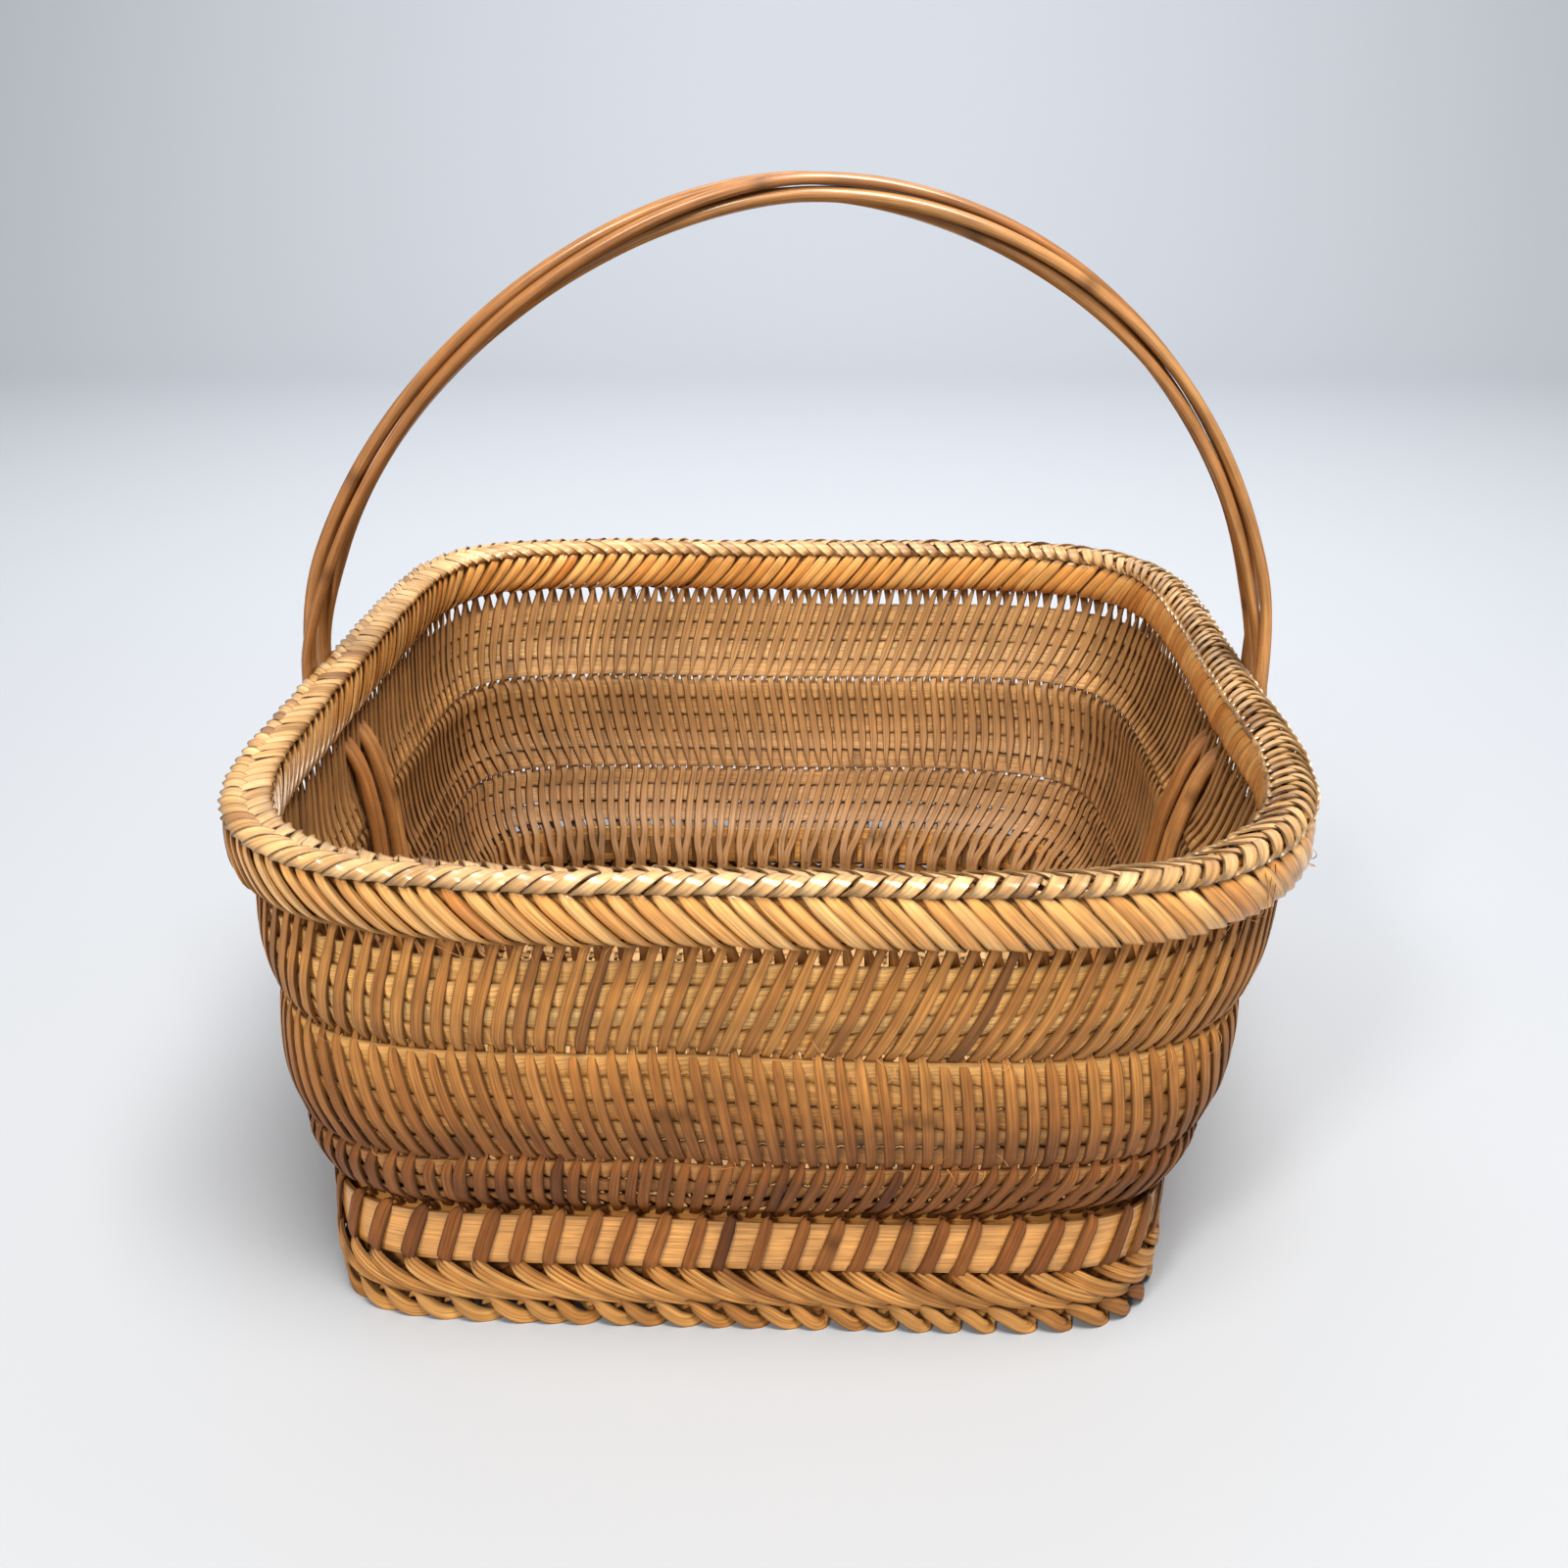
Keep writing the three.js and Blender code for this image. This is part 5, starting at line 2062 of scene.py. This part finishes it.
def round_cane(name: str, points: np.ndarray, radius: float, sides: int, number: int) -> bpy.types.Object:
    """Make a slightly flattened cane along a path, with its measure and tint kept as attributes.

    Args:
        name: the piece's name.
        points: its middle line.
        radius: its radius.
        sides: sides of its section.
        number: sets its colour and grain apart.

    Returns:
        The piece.
    """
    along = np.gradient(points, axis=0)
    along /= np.linalg.norm(along, axis=1)[:, None]
    flat = np.tile((0.0, 1.0, 0.0), (len(points), 1))
    out = np.cross(along, flat)
    out /= np.linalg.norm(out, axis=1)[:, None]
    side = np.cross(out, along)
    run = np.concatenate([[0.0], np.cumsum(np.linalg.norm(np.diff(points, axis=0), axis=1))])
    angles = np.linspace(0, TAU, sides, endpoint=False)
    verts, marks, faces = [], [], []
    for i in range(len(points)):
        turn = 0.7 * number + run[i] * 9.0
        for angle in angles:
            wide = 1.0 if abs(math.sin(angle)) < 0.5 else 0.82
            a = angle + turn
            verts.append(points[i] + radius * wide * (math.cos(a) * out[i] + math.sin(a) * side[i]))
            marks.append((radius * angle, run[i], 0.0))
    for i in range(len(points) - 1):
        for j in range(sides):
            k = (j + 1) % sides
            a, b = i * sides, (i + 1) * sides
            faces.append((a + j, b + j, b + k, a + k))
    end = (len(points) - 1) * sides
    faces.append(tuple(range(sides)))
    faces.append(tuple(end + j for j in reversed(range(sides))))
    shell = np.array(verts)
    if shell_volume(shell, faces) < 0:
        faces = [tuple(reversed(f)) for f in faces]
    mesh = bpy.data.meshes.new(name)
    mesh.from_pydata(shell.tolist(), [], faces)
    layer = mesh.attributes.new("splint", "FLOAT_VECTOR", "POINT")
    layer.data.foreach_set("vector", np.array(marks, np.float32).ravel())
    for label, value in (("tint", 0.25 + 0.17 * number), ("grain", 5.0 + 3.0 * number)):
        store = mesh.attributes.new(label, "FLOAT", "POINT")
        store.data.foreach_set("value", np.full(len(shell), value, np.float32))
    mesh.shade_smooth()
    mesh.update()
    piece = bpy.data.objects.new(name, mesh)
    bpy.context.scene.collection.objects.link(piece)
    return piece


@dataclass
class Floor:
    """The plain-woven floor of narrow strips, over one and under one."""

    shop: Workshop
    strip_width: float = 4.6 * MM
    pitch: float = 6.2 * MM
    thick: float = 0.8 * MM
    level: float = 20.2 * MM
    wave: float = 0.65 * MM

    def build(self) -> None:
        """Build both directions of strips and hand the floor over as one piece."""
        low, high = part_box("floor_mat")
        half_x, half_y = (high.x - low.x) / 2, (high.y - low.y) / 2
        meshes = []
        for turned in (False, True):
            long, across = (half_y, half_x) if turned else (half_x, half_y)
            meshes.append(self.direction(long, across, turned))
        piece = join(meshes, "floor_mat_strips")
        piece.data.materials.append(self.shop.finish(FLOOR_FLESH))
        self.shop.hand_over(piece, "floor_splint", "floor_mat")

    def direction(self, half_long: float, half_across: float, turned: bool) -> bpy.types.Object:
        """Build one direction of strips.

        Args:
            half_long: half the floor's size along the strips.
            half_across: half its size across them.
            turned: true for the strips that run front to back.

        Returns:
            The strips.
        """
        form = self.shop.form
        power = (form.foot_front_squareness + form.foot_back_squareness) / 2
        shift = form.lean(self.level)
        count = int(2 * half_across / self.pitch)
        strips, tints = [], []
        section_points = 6
        noise = np.random.default_rng(11 + turned)
        for n in range(count):
            at = (n - (count - 1) / 2) * self.pitch
            reach = half_long * max(0.0, 1 - abs(at / half_across) ** power) ** (1 / power)
            if reach < 4 * self.pitch:
                continue
            steps = int(2 * reach / self.pitch) * 2
            run = np.linspace(-reach, reach, steps + 1)
            over = -1.0 if (n % 2 == 0) == turned else 1.0
            offset = half_long if (int(2 * half_long / self.pitch) % 2) else half_long + self.pitch / 2
            lift = over * self.wave * np.cos(math.pi * (run + offset) / self.pitch)
            sway = noise.normal(0, 0.12 * MM, len(run))
            x, y = (np.full_like(run, at) + sway, run) if turned else (run, np.full_like(run, at) + sway)
            points = np.column_stack([x + shift, y, self.level + lift])
            facing = np.tile((0.0, 0.0, 1.0), (len(run), 1))
            half = np.full(len(run), self.strip_width / 2 * noise.uniform(0.85, 1.08))
            thick = np.full(len(run), self.thick)
            strips.append(Strip(points, facing, half, thick, across=3, crown=0.15 * MM))
            tints.append((noise.uniform(0, 1), noise.uniform(0, GRAIN_RANGE), len(run) * section_points))
        obj = skin("floor strips", strips)
        for index, label in enumerate(("tint", "grain")):
            store = obj.data.attributes.new(label, "FLOAT", "POINT")
            values = np.concatenate([np.full(t[2], t[index], np.float32) for t in tints])
            store.data.foreach_set("value", values)
        return obj


def join(objects: list[bpy.types.Object], name: str) -> bpy.types.Object:
    """Join mesh objects into one, with their attributes kept.

    Args:
        objects: the objects, used up here.
        name: the joined piece's name.

    Returns:
        The joined piece.
    """
    with bpy.context.temp_override(
        active_object=objects[0],
        object=objects[0],
        selected_objects=objects,
        selected_editable_objects=objects,
    ):
        bpy.ops.object.join()
    objects[0].name = name
    objects[0].data.name = name
    return objects[0]


# ---------------------------------------------------------------------------------------------------
# Stage
# ---------------------------------------------------------------------------------------------------


@dataclass(frozen=True)
class Lamp:
    """A square soft light: where it hangs, how big and strong it is, and what it points at."""

    name: str
    place: tuple[float, float, float]
    size: float
    watts: float
    colour: str
    aim: tuple[float, float, float] = (0.0, 0.0, 0.12)

    def hang(self) -> None:
        """Hang the lamp."""
        light = bpy.data.lights.new(self.name, "AREA")
        light.shape = "SQUARE"
        light.size = self.size
        light.energy = self.watts
        light.color = srgb(self.colour)[:3]
        lamp = bpy.data.objects.new(self.name, light)
        lamp.location = self.place
        sight = Vector(self.aim) - Vector(self.place)
        lamp.rotation_euler = sight.to_track_quat("-Z", "Y").to_euler()
        bpy.context.scene.collection.objects.link(lamp)


LAMPS = (
    Lamp("overhead", (0.25, -0.6, 1.6), 0.7, 33.0, "fffaf4"),
    Lamp("window", (-0.9, -1.7, 1.7), 0.4, 24.0, "fffaf4"),
    Lamp("front fill", (0.5, -2.1, 0.8), 1.2, 2.0, "fdfbf8"),
    Lamp("backdrop", (0.0, 0.9, 2.0), 1.8, 54.0, "fcfcff", aim=(0.0, 2.6, 0.8)),
)


@dataclass
class Studio:
    """A plain pale sweep, soft lights and the camera. The camera's angles are in degrees."""

    camera_place: tuple[float, float, float] = (0.0252, -0.5915, 0.4032)
    pitch_deg: float = 23.74
    yaw_deg: float = 2.31
    roll_deg: float = -0.32
    lens: float = 36.0
    sweep_width: float = 10.0
    sweep_front: float = -2.2
    sweep_back: float = 1.9
    sweep_bend: float = 0.9
    sweep_height: float = 4.0
    air_strength: float = 0.42

    def build(self) -> None:
        """Build the sweep, the lights, the world and the camera."""
        self.build_sweep()
        self.build_lights()
        self.build_camera()

    def build_sweep(self) -> None:
        """Lay the floor and curve it up behind the basket."""
        back, bend, half = self.sweep_back, self.sweep_bend, self.sweep_width / 2
        steps = 16
        profile = [(self.sweep_front, 0.0)]
        for i in range(steps + 1):
            angle = math.pi / 2 * i / steps
            profile.append((back + bend * math.sin(angle), bend * (1 - math.cos(angle))))
        profile.append((back + bend, self.sweep_height))
        verts = [(x, y, z) for y, z in profile for x in (-half, half)]
        faces = [(2 * i, 2 * i + 1, 2 * i + 3, 2 * i + 2) for i in range(len(profile) - 1)]
        mesh = bpy.data.meshes.new("studio sweep")
        mesh.from_pydata(verts, [], faces)
        mesh.shade_smooth()
        sweep = bpy.data.objects.new("studio sweep", mesh)
        bpy.context.scene.collection.objects.link(sweep)
        paper = bpy.data.materials.new("matt paper")
        paper.use_nodes = True
        shader = paper.node_tree.nodes["Principled BSDF"]
        shader.inputs["Base Color"].default_value = srgb("abafb4")
        shader.inputs["Roughness"].default_value = 0.9
        mesh.materials.append(paper)

    def build_lights(self) -> None:
        """Hang a big soft light overhead and weaker ones round it, and fill the air with a little light."""
        for lamp in LAMPS:
            lamp.hang()
        world = bpy.data.worlds.new("studio air")
        world.use_nodes = True
        air = world.node_tree.nodes["Background"]
        air.inputs["Color"].default_value = srgb("e6e8ea")
        air.inputs["Strength"].default_value = self.air_strength
        bpy.context.scene.world = world
        bpy.context.scene.view_settings.view_transform = "Standard"
        bpy.context.scene.view_settings.look = "Medium High Contrast"

    def build_camera(self) -> None:
        """Set the camera a little above the rim, looking down into the basket."""
        yaw, pitch, roll = (math.radians(a) for a in (self.yaw_deg, self.pitch_deg, self.roll_deg))
        right = Vector((math.cos(yaw), math.sin(yaw), 0.0))
        ahead = Vector((-math.sin(yaw) * math.cos(pitch), math.cos(yaw) * math.cos(pitch), -math.sin(pitch)))
        above = right.cross(ahead)
        turned_right = right * math.cos(roll) + above * math.sin(roll)
        turned_above = above * math.cos(roll) - right * math.sin(roll)
        columns = Matrix((turned_right, turned_above, -ahead)).transposed()
        data = bpy.data.cameras.new("camera")
        data.sensor_width = 36.0
        data.lens = self.lens
        data.clip_start = 0.01
        camera = bpy.data.objects.new("camera", data)
        camera.matrix_world = Matrix.Translation(self.camera_place) @ columns.to_4x4()
        bpy.context.scene.collection.objects.link(camera)
        bpy.context.scene.camera = camera


def main() -> None:
    """Build every sub-assembly in order."""
    logging.basicConfig(level=logging.INFO, format="%(name)s: %(message)s")
    Studio().build()
    form = BasketForm.from_frame()
    rows = row_tree(wrap_tree(form), uneven_tree())
    shop = Workshop(form, rows)
    Floor(shop).build()
    right, left = Leaning.RIGHT, Leaning.LEFT
    Stakes(shop, "stakes_right_leaning", right, phase=0.0, outside_at_top=True, seed=3).build()
    Stakes(shop, "stakes_left_leaning", left, phase=0.5, outside_at_top=False, seed=4).build()
    for label, bottom, top, hoops, seed, lean, overlap in (
        ("lower", 52.4, 78.2, 3, 13, right, -0.6),
        ("middle", 79.8, 125.2, 5, 17, left, 0.2),
        ("upper", 127.6, 163.4, 4, 19, right, 0.6),
    ):
        Tier(shop, label, bottom * MM, top * MM, hoops, seed, lean, overlap * MM).build()
    Foot(shop).build()
    Rim(shop).build()
    Handle(shop).build()


if __name__ == "__main__":
    main()
